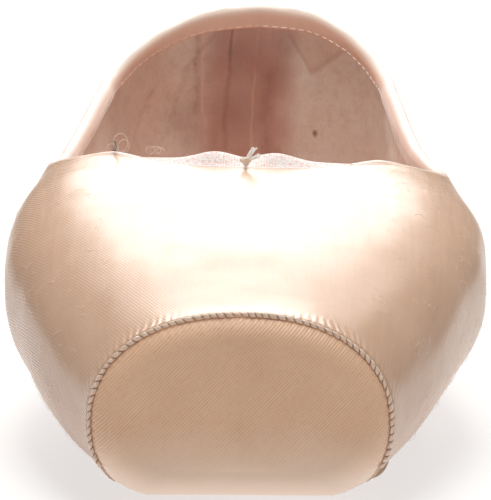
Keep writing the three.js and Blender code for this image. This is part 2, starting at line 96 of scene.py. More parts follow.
SECTIONS = rows(
    "at half wide crown base square low",
    (0, 20.7, 14.5, 29.3, 5.4, 2.2, 2.75),
    (12, 26.2, 17.5, 33, 4.5, 2.2, 2.9),
    (32, 33, 21.5, 37.6, 3.3, 2.3, 2.55),
    (46, 36.5, 24, 40, 3, 2.45, 2.35),
    (62, 39.8, 26, 42.4, 3, 2.7, 2.25),
    (76, 40.3, 27, 44.2, 3, 3, 2.25),
    (95, 38.8, 28, 47.2, 3.2, 2.75, 2.35),
    (130, 33.3, 29, 64, 4.6, 2.4, 2.35),
    (165, 30.6, 27, 78, 4, 2.2, 2.35),
    (188, 29.7, 24, 86, 3, 2.2, 2.35),
    (HEEL_AXIS, 29.2, 22, 88, 3, 2.2, 2.35),
    (HEEL_AXIS + HEEL_ROUND / 2, 29.8, 20, 88, 3, 2.2, 2.35),
    (BACK, LENGTH - HEEL_AXIS, 18, 88, 3, 2.2, 2.35),
)
TOPLINE = rows(
    "at top",
    (THROAT, 44.2),
    (81, 44.4),
    (86, 44.2),
    (92, 42.5),
    (100, 40.4),
    (118, 38.3),
    (138, 38.4),
    (160, 40.4),
    (182, 41.8),
    (HEEL_AXIS, 42.6),
    (HEEL_AXIS + HEEL_ROUND / 6, 43.9),
    (HEEL_AXIS + HEEL_ROUND / 3, 47),
    (HEEL_AXIS + HEEL_ROUND / 2, 50.3),
    (HEEL_AXIS + HEEL_ROUND * 3 / 4, 53.7),
    (BACK, 54.6),
)
WALL = rows("at thick", (0, 3), (30, 2.6), (70, 2), (110, 1.6), (BACK, 1.6))
SOLE_WIDTHS = rows(
    "at half",
    (SOLE_TIP, 19),
    (40, 23.4),
    (62, 24.6),
    (92, 21),
    (130, 15),
    (165, 16),
    (195, 18.4),
    (SOLE_END, 18.6),
)


def column(values, name):
    """A smooth curve through a table's column that keeps level stretches level."""
    x, y = values["at"], values[name]
    slope = np.diff(y) / np.diff(x)
    a, b = slope[:-1], slope[1:]
    mean = 2 * a * b / np.where(a * b <= 0, 1, a + b)
    tangent = np.concatenate([slope[:1], np.where(a * b <= 0, 0, mean), slope[-1:]])

    def curve(at):
        s = np.clip(at, x[0], x[-1])
        i = np.clip(np.searchsorted(x, s, side="right") - 1, 0, len(x) - 2)
        h = x[i + 1] - x[i]
        t = (s - x[i]) / h
        return (
            (2 * t**3 - 3 * t**2 + 1) * y[i]
            + (t**3 - 2 * t**2 + t) * h * tangent[i]
            + (3 * t**2 - 2 * t**3) * y[i + 1]
            + (t**3 - t**2) * h * tangent[i + 1]
        )

    return curve


half_at, wide_at, crown_at, base_at, square_at, low_at = (
    column(SECTIONS, name) for name in "half wide crown base square low".split()
)
topline_at = column(TOPLINE, "top")
thick_at = column(WALL, "thick")
sole_half_at = column(SOLE_WIDTHS, "half")


def ramp(value, low, high):
    """Goes smoothly from 0 at low to 1 at high."""
    t = np.clip((value - low) / (high - low), 0, 1)
    return t * t * (3 - 2 * t)


def bell(value):
    """Goes smoothly from 1 at 0 to nothing, a few units away."""
    return np.exp(-(value**2))


def section(s):
    """The last's section at a station: half width, widest height, reach up and down, two exponents."""
    corner = np.maximum(0, PLATFORM_EDGE - s)
    rounded = PLATFORM_EDGE - np.sqrt(np.maximum(0, PLATFORM_EDGE**2 - corner**2))
    wide = wide_at(s)
    up = crown_at(s) - wide - rounded
    down = wide - base_at(s) - rounded
    return half_at(s) - rounded, wide, up, down, square_at(s), low_at(s)


def reach(shape, a):
    """Distance from a section's middle to its outline."""
    half, _, up, down, square, low = shape
    c, s = np.abs(np.cos(a)), np.abs(np.sin(a))
    above = a >= 0
    n = np.where(above, square, low)
    height = np.where(above, up, down * FEATHER_DEPTH)
    curve = ((c / half) ** n + (s / height) ** n) ** (-1 / n)
    return np.where(above, curve, np.minimum(curve, down / np.maximum(s, 1e-9)))


def place(s, out, up):
    """Puts a point of a section's right half in its place in the shoe."""
    lean = PLATFORM_LEAN * (up - base_at(0)) * np.maximum(0, 1 - s / LEAN_FADES) ** 2
    turn = np.maximum(0, s - HEEL_AXIS) / HEEL_ROUND * QUARTER
    y = np.where(s <= HEEL_AXIS, s + lean, HEEL_AXIS + out * np.sin(turn)) - RISE
    return np.stack([out * np.cos(turn), y, up + 0 * out], -1)


def pair(s, a):
    return np.broadcast_arrays(np.asarray(s, float), np.asarray(a, float))


def last(s, a):
    """A point of the last's right side."""
    s, a = pair(s, a)
    shape = section(s)
    r = reach(shape, a)
    return place(s, np.cos(a) * r, shape[1] + np.sin(a) * r)


def unit(v):
    return v / np.maximum(np.linalg.norm(v, axis=-1, keepdims=True), 1e-12)


def tangents(s, a):
    """The directions along the shoe and round it on the last's surface, for each mm and each radian."""
    step, turn = 0.02, 1e-3
    back = np.maximum(s - step, 0)
    along = (last(s + step, a) - last(back, a)) / (s + step - back)[..., None]
    return along, (last(s, a + turn) - last(s, a - turn)) / (2 * turn)


def outward(s, a):
    return unit(np.cross(*tangents(*pair(s, a))))


def inner(s, a):
    """A point of the upper's inside."""
    s, a = pair(s, a)
    at = s + TOE_THICK * (1 - np.minimum(1, s / INNER_FADES))
    half, wide, up, down, square, low = section(at)
    thick = thick_at(s) + half_at(s) - section(s)[0]
    r = reach((half - thick, wide, up - thick, down - thick, square, low), a)
    return place(at, np.cos(a) * r, wide + np.sin(a) * r)


def angle_at_height(shape, height):
    half, wide, up, _, square, _ = shape
    share = np.clip((height - wide) / up, 0, 1)
    out = half * (1 - share**square) ** (1 / square)
    return np.arctan2(height - wide, out)


def topline_angle(s):
    s = np.asarray(s, float)
    return np.where(s <= THROAT, QUARTER, angle_at_height(section(s), topline_at(s)))


def flat_half(half, low):
    """Half width of a section's flat bottom."""
    return half * (1 - FEATHER_DEPTH**-low) ** (1 / low)


def feather_angle(s):
    """The angle where a section's flat bottom ends."""
    half, _, _, down, _, low = section(s)
    return -np.arctan2(down, flat_half(half, low))


def run_along(points):
    """Length from the first point of a line to each of its points."""
    return np.concatenate([[0], np.cumsum(np.linalg.norm(np.diff(points, axis=0), axis=-1))])


def rounding(t):
    return np.sqrt(np.maximum(0, 1 - (1 - np.clip(t, 0, 1)) ** 2))


def sole_half(s):
    return sole_half_at(s) * rounding((s - SOLE_TIP) / TIP_ROUND) * rounding((SOLE_END - s) / END_ROUND)


OPEN_FROM, OPEN_END = SOLE_TIP + MARGIN, SOLE_END - MARGIN


def opening_half(s):
    """Half width of the opening under the upper."""
    opened = np.sqrt(np.clip((s - OPEN_FROM) / TIP_ROUND, 0, 1))
    side = (sole_half_at(s) - MARGIN) * opened
    end = OPEN_END - HEEL_AXIS
    half = side + (end - side) * ramp(s, HEEL_AXIS - 20, HEEL_AXIS)
    return np.where(s <= OPEN_FROM, 0, np.where(s > HEEL_AXIS, end, half))


# The worn-in asymmetry: the left wing stands higher than the right, the quarters lean left, the heel's
# top leans right, and the left quarter's edge bulges a little further than its solid.
TWIST = dict(by=1.1, half=35, at=88, spread=45, up=(30, 43))
LEANS = [dict(by=-0.7, along=(105, 145), up=(10, 30)), dict(by=2, along=(205, 240), up=(30, 56))]
BULGE = dict(by=0.85, along=(110, 150), ends=(232, 262), up=(22, 38), out=(3, 22))


def sway(p):
    """Moves points by the shoe's asymmetry, which is nothing at the sole."""
    p = np.array(p, float)
    station, height = p[..., 1] + RISE, p[..., 2].copy()
    near = bell((station - TWIST["at"]) / TWIST["spread"])
    twist = TWIST["by"] * near * ramp(height, *TWIST["up"]) * -p[..., 0] / TWIST["half"]
    for lean in LEANS:
        p[..., 0] += lean["by"] * (ramp(station, *lean["along"]) * ramp(height, *lean["up"]))
    p[..., 2] += twist
    along = ramp(station, *BULGE["along"]) * (1 - ramp(station, *BULGE["ends"]))
    p[..., 0] -= BULGE["by"] * along * ramp(height, *BULGE["up"]) * ramp(-p[..., 0], *BULGE["out"])
    return p


CELLS = 64
LATTICE = rng.random((CELLS, CELLS, CELLS)) * 2 - 1


def noise(p, scale, octaves=2):
    """Smooth noise at points in mm, the same on every run; scale is the size of its lumps."""
    total, weight = 0, 1.0
    for octave in range(octaves):
        q = np.asarray(p, float) / scale * 2**octave + 19.3 * octave
        i = np.floor(q).astype(int)
        f = q - i
        f = f * f * (3 - 2 * f)
        value = 0
        for corner in np.ndindex(2, 2, 2):
            w = np.prod(np.where(np.array(corner), f, 1 - f), axis=-1)
            x, y, z = ((i + corner) % CELLS).transpose(-1, *range(i.ndim - 1))
            value = value + w * LATTICE[x, y, z]
        total = total + value * weight
        weight *= 0.5
    return total


class Body:
    """Grids of points, welded where they meet, as one mesh."""

    def __init__(self):
        self.points, self.cloth, self.faces, self.slots = [], [], [], []
        self.count = 0

    def grid(self, points, cloth=None, slot=0, turned=False, closed=False):
        """Adds a skin over a grid of points in mm; closed joins its last column to its first."""
        r, c = points.shape[:2]
        index = np.arange(r * c).reshape(r, c) + self.count
        if closed:
            index = np.concatenate([index, index[:, :1]], 1)
        quads = np.stack([index[:-1, :-1], index[1:, :-1], index[1:, 1:], index[:-1, 1:]], -1).reshape(-1, 4)
        self.faces.append(quads[:, ::-1] if turned else quads)
        self.slots.append(np.full(len(quads), slot))
        self.points.append(points.reshape(-1, 3))
        self.cloth.append((points if cloth is None else cloth).reshape(-1, 3))
        self.count += r * c
        return self

    def tube(self, centres, radius, sides=8, slot=0):
        """Adds a round strand along points, with closed ends; radius is one number or one for each point."""
        centres = np.asarray(centres, float)
        radius = np.broadcast_to(radius, len(centres))
        way = unit(np.gradient(centres, axis=0))
        side = np.cross(way, [0, 0, 1.0])
        side = unit(np.where(np.linalg.norm(side, axis=-1, keepdims=True) < 0.05, [1.0, 0, 0], side))
        up = np.cross(side, way)
        t = np.linspace(0, 2 * np.pi, sides, endpoint=False)
        ring = np.cos(t)[:, None, None] * side + np.sin(t)[:, None, None] * up
        points = centres + ring * radius[:, None]
        cap = [np.broadcast_to(centres[end], (sides, 1, 3)) for end in (0, -1)]
        points = np.concatenate([cap[0], points, cap[1]], 1)
        return self.grid(np.swapaxes(points, 0, 1), slot=slot, closed=True)

    def build(self, name, materials, swayed=True):
        points, cloth = np.concatenate(self.points), np.concatenate(self.cloth)
        faces, slots = np.concatenate(self.faces), np.concatenate(self.slots)
        _, first, same = np.unique(np.round(points, 3), axis=0, return_index=True, return_inverse=True)
        points, cloth = points[first], cloth[first]
        if swayed:
            points = sway(points)
        corners = [list(dict.fromkeys(face)) for face in same.reshape(-1)[faces].tolist()]
        kept = [i for i, face in enumerate(corners) if len(face) > 2]
        mesh = bpy.data.meshes.new(name)
        mesh.from_pydata(points * MM, [], [corners[i] for i in kept])
        mesh.polygons.foreach_set("material_index", slots[kept].tolist())
        mesh.polygons.foreach_set("use_smooth", [True] * len(kept))
        mesh.attributes.new("cloth", "FLOAT_VECTOR", "POINT").data.foreach_set("vector", cloth.ravel())
        mesh.validate()
        mesh.update()
        for material in materials:
            mesh.materials.append(material)
        piece = bpy.data.objects.new(name, mesh)
        bpy.context.collection.objects.link(piece)
        return piece


def stand(piece, slot, *nodes):
    """The piece rides on the shoe's one body, in the place of its CAD nodes."""
    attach(piece, "root")
    if nodes:
        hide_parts(*nodes)
    return piece


def cloth_of(s, a, side):
    """Cloth coordinates in mm: the station, the length round the section from the crown, and the side."""
    s, a = pair(s, a)
    t = np.linspace(0, 1, 11)[:, None, None]
    steps = np.diff(last(s, QUARTER + (a - QUARTER) * t), axis=0)
    around = np.linalg.norm(steps, axis=-1).sum(0)
    return np.stack([s, around * side, np.full(s.shape, float(side))], -1)


class Nodes:
    """A new material, with short ways to add linked nodes to it."""

    def __init__(self, name):
        self.made = bpy.data.materials.new(name)
        self.made.use_nodes = True
        self.tree = self.made.node_tree

    def put(self, value, socket):
        """Links a node's output to a socket, or sets the socket's own value."""
        if isinstance(value, bpy.types.NodeSocket):
            self.tree.links.new(value, socket)
        else:
            socket.default_value = value

    def add(self, kind, inputs=(), **settings):
        node = self.tree.nodes.new(kind)
        for name, value in settings.items():
            setattr(node, name, value)
        for key, value in dict(inputs).items():
            self.put(value, node.inputs[key])
        return node

    def finish(self, values):
        """Gives the shader its values, and returns the material."""
        for name, value in values.items():
            self.put(value, self.tree.nodes["Principled BSDF"].inputs[name])
        return self.made

    def math(self, operation, first, *others):
        """Joins values two by two; a sine, a root or an absolute value takes just one."""
        for other in others or (0.0,):
            first = self.add("ShaderNodeMath", {0: first, 1: other}, operation=operation).outputs[0]
        return first

    def times(self, *values):
        return self.math("MULTIPLY", *values)

    def plus(self, *values):
        return self.math("ADD", *values)

    def minus(self, *values):
        return self.math("SUBTRACT", *values)

    def cloth(self):
        """The cloth coordinates of a piece, as one vector and as its three numbers."""
        vector = self.add("ShaderNodeAttribute", attribute_name="cloth").outputs["Vector"]
        return vector, self.add("ShaderNodeSeparateXYZ", {0: vector}).outputs

    def place(self):
        return self.add("ShaderNodeTexCoord").outputs["Object"]

    def lines(self, x, y, degrees, pitch):
        """Fine parallel ribs from 0 to 1, at an angle to the first coordinate."""
        turn = math.radians(degrees)
        across = self.plus(self.times(x, math.cos(turn)), self.times(y, math.sin(turn)))
        return self.plus(self.times(self.math("SINE", self.times(across, 2 * math.pi / pitch)), 0.5), 0.5)

    def noise(self, vector, scale, detail=3.0, roughness=0.6):
        inputs = {"Vector": vector, "Scale": scale, "Detail": detail, "Roughness": roughness}
        return self.add("ShaderNodeTexNoise", inputs).outputs["Fac"]

    def stretched(self, vector, *stretch):
        return self.add("ShaderNodeVectorMath", {0: vector, 1: stretch}, operation="MULTIPLY").outputs[0]

    def mix(self, share, a, b, blend="MIX"):
        inputs = {0: share, 6: a, 7: b}
        return self.add("ShaderNodeMix", inputs, data_type="RGBA", blend_type=blend).outputs[2]

    def span(self, value, low, high, to_low=0.0, to_high=1.0):
        inputs = {"Value": value, "From Min": low, "From Max": high, "To Min": to_low, "To Max": to_high}
        return self.add("ShaderNodeMapRange", inputs, clamp=True).outputs[0]

    def bump(self, height, distance, strength=1.0, under=None):
        inputs = {"Height": height, "Distance": distance, "Strength": strength}
        if under is not None:
            inputs["Normal"] = under
        return self.add("ShaderNodeBump", inputs).outputs[0]


def rgb(r, g, b):
    """A colour given as it looks on screen, 0 to 255, in the scene's linear values."""
    def linear(v):
        v /= 255
        return v / 12.92 if v <= 0.04045 else ((v + 0.055) / 1.055) ** 2.4
    return (linear(r), linear(g), linear(b), 1.0)


# Painted glow: emission colours that stand in for light coming through thin cloth, fibres and knit.
PAINTED_GLOW = (1, 0.95, 0.91, 1)  # light that comes through a thin fold or fibres
PAINTED_KNIT_GLOW = (1, 0.92, 0.9, 1)


def satin(name, pale, deep, rubbed, roughness, degrees, pitch, depth, sheen, shade):
    """Woven satin: a float-faced twill with a soft gloss and faint bars of thicker weft.

    Rubbed satin has lost its face at its lower edge. The other is gathered along the platform seam.
    """
    n = Nodes(name)
    vector, (along, around, _) = n.cloth()
    twill = n.lines(along, around, degrees, pitch)
    broken = n.noise(n.stretched(vector, 0.9, 0.9, 0.9), 1.6, 4.0)
    patchy = n.span(broken, 0.3, 0.7, 0.35, 1.0)
    slubs = n.noise(n.stretched(vector, 0.06, 0.9, 1.0), 0.8, 2.0)
    tone = n.mix(n.span(n.noise(vector, 0.06), 0.3, 0.7), pale, deep)
    if rubbed:
        low = n.plus(around, n.times(n.noise(vector, 0.12, 4.0), 4.0))
        patchy = n.times(patchy, n.span(low, 8, 16, 0.1, 1.0))
        tone = n.mix(n.span(low, 17, 7, 0, 0.85), tone, rgb(248, 224, 206))
    tone = n.mix(n.times(twill, patchy, shade), tone, deep, "MULTIPLY")
    weave = n.bump(n.times(twill, patchy), depth)
    if not rubbed:
        # Painted shade: the lower left flank is darkened in colour.
        painted_shade_low_left = n.times(n.span(around, -32, -46), n.span(along, 4, 75, 1, 0))
        tone = n.mix(painted_shade_low_left, tone, rgb(216, 192, 174), "MULTIPLY")
        # Painted light: the satin just before the throat is paled over the shadow that the casing casts
        # there.
        painted_light_by_throat = n.times(n.span(along, THROAT - 9, THROAT - 2), n.span(along, THROAT, THROAT + 6, 0.3, 0),
                            n.span(n.math("ABSOLUTE", around), 16, 26, 1, 0))
        tone = n.mix(painted_light_by_throat, tone, rgb(255, 244, 232))
        jitter = n.times(n.noise(vector, 0.35), 9.0)
        pinch = n.math("SINE", n.plus(n.times(around, 2 * math.pi / STITCH), jitter))
        by_seam = n.span(along, SEAM_STATION + 0.4, SEAM_STATION + 5.5, 1, 0)
        pinch = n.times(pinch, n.times(by_seam, n.span(broken, 0.3, 0.7, 0.4, 1)))
        weave = n.bump(pinch, 0.00007, 1.0, weave)
    return n.finish({
        "Base Color": tone,
        "Roughness": n.plus(n.span(twill, 0, 1, roughness - 0.05, roughness + 0.05),
                            n.span(slubs, 0.4, 0.7, 0, 0.05)),
        "Normal": n.bump(slubs, 0.00002, 0.5, weave),
        "Sheen Weight": sheen, "Sheen Roughness": 0.45, "Sheen Tint": (1.0, 0.93, 0.9, 1.0),
        "Specular IOR Level": 0.55, "IOR": 1.42,
    })


def tape_weave(name, pale, deep, outside_colour, shaded_within_colour, sheen):
    """Satin ribbon folded over the edge: pale on the fold with a painted glow, warmer where it lies inside
    the shoe as painted shade.

    Its third cloth coordinate is -1 on the outside, 0 on the fold and 1 inside the shoe.
    """
    n = Nodes(name)
    vector, (along, around, within) = n.cloth()
    ribs = n.lines(along, around, 0, 0.6)
    grain = n.noise(n.stretched(vector, 1.0, 0.5, 0.0), 0.9)
    clouds = n.noise(n.stretched(vector, 1.0, 1.0, 0.0), 0.09)
    tone = n.mix(n.span(clouds, 0.3, 0.7), pale, deep)
    tone = n.mix(n.span(within, -0.9, -0.1), outside_colour, tone)
    # Painted shade: the inside leg is painted warmer and darker.
    tone = n.mix(n.span(within, 0.2, 0.9), tone, shaded_within_colour)
    # Painted light: emission makes the fold glow.
    painted_glow_share = n.times(n.span(within, -0.5, 0), n.span(within, 0, 0.6, 1, 0.15))
    return n.finish({
        "Base Color": n.mix(n.times(ribs, 0.12), tone, shaded_within_colour, "MULTIPLY"),
        "Normal": n.bump(grain, 0.00005, 0.6, n.bump(ribs, 0.00002, 0.6)),
        "Emission Color": n.mix(painted_glow_share, (0, 0, 0, 1), PAINTED_GLOW), "Emission Strength": 0.12,
        "Roughness": 0.34, "Sheen Weight": sheen, "Sheen Roughness": 0.4, "Specular IOR Level": 0.7,
    })


def nipped_satin(name, pale, deep, painted_nip_shade):
    """Satin of the raised seam: pale over each stitch, with painted shade in the nips between them."""
    n = Nodes(name)
    vector, (_, _, lay) = n.cloth()
    grain = n.noise(vector, 1.1)
    tone = n.mix(n.span(grain, 0.35, 0.65), pale, deep)
    return n.finish({
        # Painted shade darkens the nips between the stitches.
        "Base Color": n.mix(n.span(lay, 0.2, 0.6), painted_nip_shade, tone),
        "Normal": n.bump(grain, 0.00006, 0.6), "Roughness": 0.4,
    })


def plain_weave(name, pale, deep, pitch, depth):
    """A matte plain weave: two crossed sets of ribs, clouded and slightly creased."""
    n = Nodes(name)
    vector, (along, around, _) = n.cloth()
    crossed = n.times(n.lines(along, around, 0, pitch), n.lines(along, around, 90, pitch * 1.15))
    clouds = n.noise(vector, 0.05, 4.0, 0.65)
    tone = n.mix(n.span(clouds, 0.32, 0.68), pale, deep)
    return n.finish({
        "Base Color": n.mix(n.times(crossed, 0.25), tone, deep, "MULTIPLY"),
        "Normal": n.bump(crossed, depth, 0.8, n.bump(clouds, 0.0006, 0.5)),
        "Roughness": 0.85, "Sheen Weight": 0.2, "Specular IOR Level": 0.25,
    })


# Lines on the lining: place round the heel at the lower end, slope, lower and upper end, half width,
# strength and colour.
LINING_MARKS = [
    (-10.8, -0.125, 34, 60, 0.5, 0.7, rgb(252, 222, 208)),
    (-10.4, 0, 20, 34, 0.5, 0.35, rgb(248, 216, 202)),
    (-12.2, -0.13, 34, 60, 1.2, 0.4, rgb(184, 134, 122)),
    (-6, -0.02, 44, 60, 0.6, 0.6, rgb(124, 84, 82)),
    (-5.7, 0, 20, 44, 0.9, 0.4, rgb(164, 116, 108)),
    (0.1, 0, 20, 43, 0.45, 0.55, rgb(250, 220, 206)),
    (0, 0, 46, 60, 0.4, 0.4, rgb(250, 220, 206)),
    (3.2, 0, 20, 43, 2.2, 0.5, rgb(170, 122, 114)),
    (-19, 0.26, 30, 43.5, 1.2, 0.3, rgb(186, 136, 124)),
    (-16.5, 0.85, 43.5, 50, 1.1, 0.35, rgb(186, 136, 124)),
    (-25, 0.5, 34, 44, 1.2, 0.25, rgb(250, 222, 208)),
    (-30, 0.6, 30, 42, 1.2, 0.25, rgb(190, 140, 126)),
    (15, 0.9, 40, 48, 0.9, 0.3, rgb(250, 222, 208)),
    (27, -0.4, 24, 40, 0.9, 0.3, rgb(255, 236, 222)),
]
# A lapped patch at the right of the heel: its lowest corner, the slopes of its edges and where it starts.
PATCH = dict(at=13.2, high=43, left=-1.3, right=0.5, start=7.5)
# Spots on the lining: place round the heel, height, size, strength and colour.
LINING_SPOTS = [
    (14.6, 30.4, 0.75, 0.9, rgb(150, 124, 66)),
    (-14, 44.6, 0.6, 0.6, rgb(100, 66, 66)),
    (4.5, 43, 5, 0.2, rgb(150, 104, 100)),
    (8, 50, 4, 0.22, rgb(160, 112, 106)),
    (-2.5, 47, 5.5, 0.3, rgb(150, 104, 104)),
    (-8, 49, 5, 0.25, rgb(160, 114, 112)),
    (-4, 34, 5, 0.25, rgb(158, 112, 106)),
    (-15, 33, 6, 0.22, rgb(160, 114, 104)),
]


def lining(name):
    """Cotton at the heel: seam lines, a lapped patch, stains, creases and painted shade, by place round the
    heel.
    """
    n = Nodes(name)
    vector, (around, high, _) = n.cloth()
    crossed = n.times(n.lines(around, high, 0, 0.55), n.lines(around, high, 90, 0.6))
    clouds = n.noise(vector, 0.07, 4.0)
    wrinkled = n.noise(n.stretched(vector, 1.0, 0.6, 1.0), 0.13, 4.0)
    mottled = n.noise(vector, 0.5, 4.0, 0.7)
    wander = n.times(n.minus(n.noise(vector, 0.25, 2.0), 0.5), 2.5)
    tone = n.mix(n.span(clouds, 0.35, 0.65), rgb(255, 246, 238), rgb(250, 234, 222))
    about = n.plus(around, n.times(wander, 1.6))
    # Painted shade: the heel's middle is darkened where less light reaches it.
    painted_heel_shade = n.times(n.span(about, 5, 11, 1, 0), n.span(about, -18, -8),
                   n.span(wrinkled, 0.3, 0.6, 0.75, 1.0), n.span(high, 43, 50, 1, 0.8))
    tone = n.mix(painted_heel_shade, tone, rgb(212, 166, 154))
    # Painted shade: the lining's left side is darkened.
    tone = n.mix(n.span(about, -14, -24, 0, 0.6), tone, rgb(244, 212, 194))
    shifted = n.plus(around, n.times(wander, 0.5))
    for at, slope, low, top, half, strength, colour in LINING_MARKS:
        off = n.math("ABSOLUTE", n.minus(shifted, n.plus(n.times(n.minus(high, low), slope), at)))
        line = n.times(n.span(off, 0, half, strength, 0), n.span(high, low - 1, low + 1),
                       n.span(high, top - 1, top + 1, 1, 0), n.span(mottled, 0.3, 0.6, 0.4, 1))
        tone = n.mix(line, tone, colour)
    past = n.minus(around, PATCH["at"])
    fold = n.plus(n.times(n.math("MAXIMUM", past, 0.0), PATCH["right"]),
                  n.times(n.math("MINIMUM", past, 0.0), PATCH["left"]))
    above = n.plus(n.minus(high, PATCH["high"], fold), n.times(wander, 0.4))
    started = n.span(around, PATCH["start"] - 1, PATCH["start"])
    tone = n.mix(n.times(n.span(above, -0.6, 0.8, 0, 0.5), started), tone, rgb(236, 202, 184))
    rim = n.span(n.math("ABSOLUTE", above), 0, 1.1, 0.35, 0)
    tone = n.mix(n.times(rim, started), tone, rgb(196, 144, 130))
    stain = n.times(n.span(mottled, 0.45, 0.7, 0, 0.32), n.span(clouds, 0.35, 0.6, 0.4, 1))
    tone = n.mix(stain, tone, rgb(206, 158, 146))
    for at, up, size, strength, colour in LINING_SPOTS:
        dx, dz = n.minus(around, at), n.minus(high, up)
        away = n.math("SQRT", n.plus(n.times(dx, dx), n.times(dz, dz)))
        away = n.plus(away, n.times(n.minus(wrinkled, 0.5), size * 3.0))
        tone = n.mix(n.span(away, size * 0.2, size * 1.2, strength, 0), tone, colour)
    fuzz = n.span(n.noise(vector, 2.2, 3.0, 0.7), 0.35, 0.7, 0, 0.1)
    tone = n.mix(fuzz, tone, rgb(206, 160, 144), "MULTIPLY")
    creased = n.bump(crossed, 0.00002, 0.6, n.bump(wrinkled, 0.0012, 0.6))
    return n.finish({
        "Base Color": n.mix(n.times(crossed, 0.05), tone, rgb(222, 178, 162), "MULTIPLY"),
        "Normal": n.bump(mottled, 0.00025, 0.6, creased),
        "Roughness": 0.85, "Sheen Weight": 0.25, "Specular IOR Level": 0.25,
    })


def knitted(name, pale, deep):
    """Fine open knit: rows of small loops, with a painted glow for the light that comes through it."""
    n = Nodes(name)
    vector, (along, around, _) = n.cloth()
    loops = n.times(n.lines(along, around, 0, 0.46), n.lines(along, around, 90, 0.38))
    holes = n.span(n.plus(n.times(loops, 0.4), n.times(n.noise(vector, 2.0), 1.6)), 0.55, 1.05)
    return n.finish({
        "Base Color": n.mix(holes, deep, pale),
        "Normal": n.bump(holes, 0.00005, 0.8),
        "Roughness": 0.8, "Sheen Weight": 0.3,
        # Painted glow: the knit glows by emission.
        "Emission Color": PAINTED_KNIT_GLOW, "Emission Strength": 0.09,
    })


def leather(name, pale, deep):
    """Plain sole leather: clouded, with a fine grain."""
    n = Nodes(name)
    cells = n.add("ShaderNodeTexVoronoi", {"Vector": n.place(), "Scale": 1400.0}).outputs["Distance"]
    clouds = n.noise(n.place(), 60.0, 4.0)
    return n.finish({
        "Base Color": n.mix(n.span(clouds, 0.3, 0.7), pale, deep),
        "Normal": n.bump(cells, 0.00008, 0.6, n.bump(clouds, 0.0004, 0.4)),
        "Roughness": n.span(clouds, 0.3, 0.7, 0.55, 0.75),
    })


def cotton_thread(name, pale, deep, glow=0.04):
    """Soft cotton thread, with a painted glow for the light that comes through its fibres."""
    n = Nodes(name)
    plies = n.noise(n.place(), 2200.0)
    return n.finish({
        "Base Color": n.mix(n.span(plies, 0.35, 0.65), pale, deep),
        "Normal": n.bump(plies, 0.0001, 0.6),
        "Roughness": 0.75, "Sheen Weight": 0.3,
        "Emission Color": PAINTED_GLOW, "Emission Strength": glow,
    })


vamp_satin = satin("vamp_satin", rgb(220, 187, 163), rgb(210, 175, 149), rubbed=False, roughness=0.27,
                   degrees=64.5, pitch=0.45, depth=0.000011, sheen=0.0, shade=0.3)
toe_satin = satin("toe_satin", rgb(248, 210, 178), rgb(236, 196, 164), rubbed=True, roughness=0.42,
                  degrees=-45, pitch=0.44, depth=0.00006, sheen=0.15, shade=0.6)
tape_satin = tape_weave("tape_satin", rgb(252, 236, 224), rgb(248, 228, 214), rgb(236, 206, 186),
                        rgb(246, 200, 174), sheen=0.5)
lining_cotton = lining("lining_cotton")
seam_satin = nipped_satin("seam_satin", rgb(252, 232, 214), rgb(228, 194, 168), rgb(150, 118, 100))
sock_cotton = plain_weave("sock_cotton", rgb(212, 176, 156), rgb(198, 160, 140), pitch=0.7, depth=0.0001)
casing_knit = knitted("casing_knit", rgb(255, 255, 255), rgb(236, 190, 176))
sole_leather = leather("sole_leather", rgb(206, 176, 146), rgb(186, 152, 122))
white_thread = cotton_thread("white_thread", rgb(255, 253, 250), rgb(250, 244, 238), 0.12)
peach_thread = cotton_thread("peach_thread", rgb(255, 240, 226), rgb(250, 224, 204))
dark_thread = cotton_thread("dark_thread", rgb(132, 112, 104), rgb(96, 80, 74))


# The upper's outside: what lies on the last's surface, in mm.
def seam_length(a):
    """Length along the platform seam from the crown, for an angle."""
    grid = np.linspace(-QUARTER, QUARTER, 721)
    length = run_along(last(np.full_like(grid, SEAM_STATION), grid))
    return length[-1] - np.interp(a, grid, length)


def stitched(length, side):
    """A wave along the platform seam, one to a stitch."""
    return np.cos(2 * math.pi * length * side / STITCH)


def cover_edge(a):
    return SEAM_STATION + (COVER_UNDER - SEAM_STATION) * ramp(SEAM_LOW - a, 0, 0.5)


VAMP_RISE = 1.3  # how far the satin stands off the last beside the cover
COVER_EDGE = 1.2  # how far behind the seam's station the cover ends, with a groove there
PRESSED = 1.0  # how much flatter the lower right side is
SIDE_SEAM, SIDE_SLOPE = 124, 0.35  # the side seams' station at a height of 20, and how far they lean
SEAM_VALLEY, SEAM_RIDGE, RIDGE_WIDE = 0.45, 1.6, 0.8  # a seam's half width, and its ridge's place and width
ROUND_THE_BOX = 36  # mm for each radian, for folds placed by their angle
# Folds: station, angle from the crown (left is below 0), direction, half length, half width and height.
FOLDS = table(
    "x y turn long wide deep",
    (14, -1.2, 0.35, 9, 2.4, -0.1),
    (22, -1.35, 0.3, 10, 2.8, -0.1),
    (30, 1.4, -0.2, 12, 2.2, -0.2),
    (118, 1.1, 1.2, 14, 2.2, -0.3),
    (112, -1.1, -1.2, 13, 2.4, -0.3),
    (150, 1.4, 0.1, 26, 3.5, -0.35),
    (156, -1.4, -0.1, 24, 3.2, -0.3),
)
STAY = (-14, -6)  # the stay tape's edges, in mm round the heel from its back; left is below 0
# Folds of the lining at the heel: place round the heel, height, direction, half length and width, height.
LINING_FOLDS = table(
    "x y turn long wide deep",
    (-17, 44, 1.1, 7, 0.8, 0.35),
    (-24, 38, 0.9, 8, 1.0, 0.3),
    (4, 44, -0.7, 6, 0.9, 0.4),
    (9, 41, 0.5, 6, 0.9, 0.3),
    (-10, 45, 0.2, 4, 0.6, -0.35),
    (-9, 38, -0.4, 4, 0.6, -0.3),
    (0, 35, 1.3, 8, 1.2, -0.3),
)


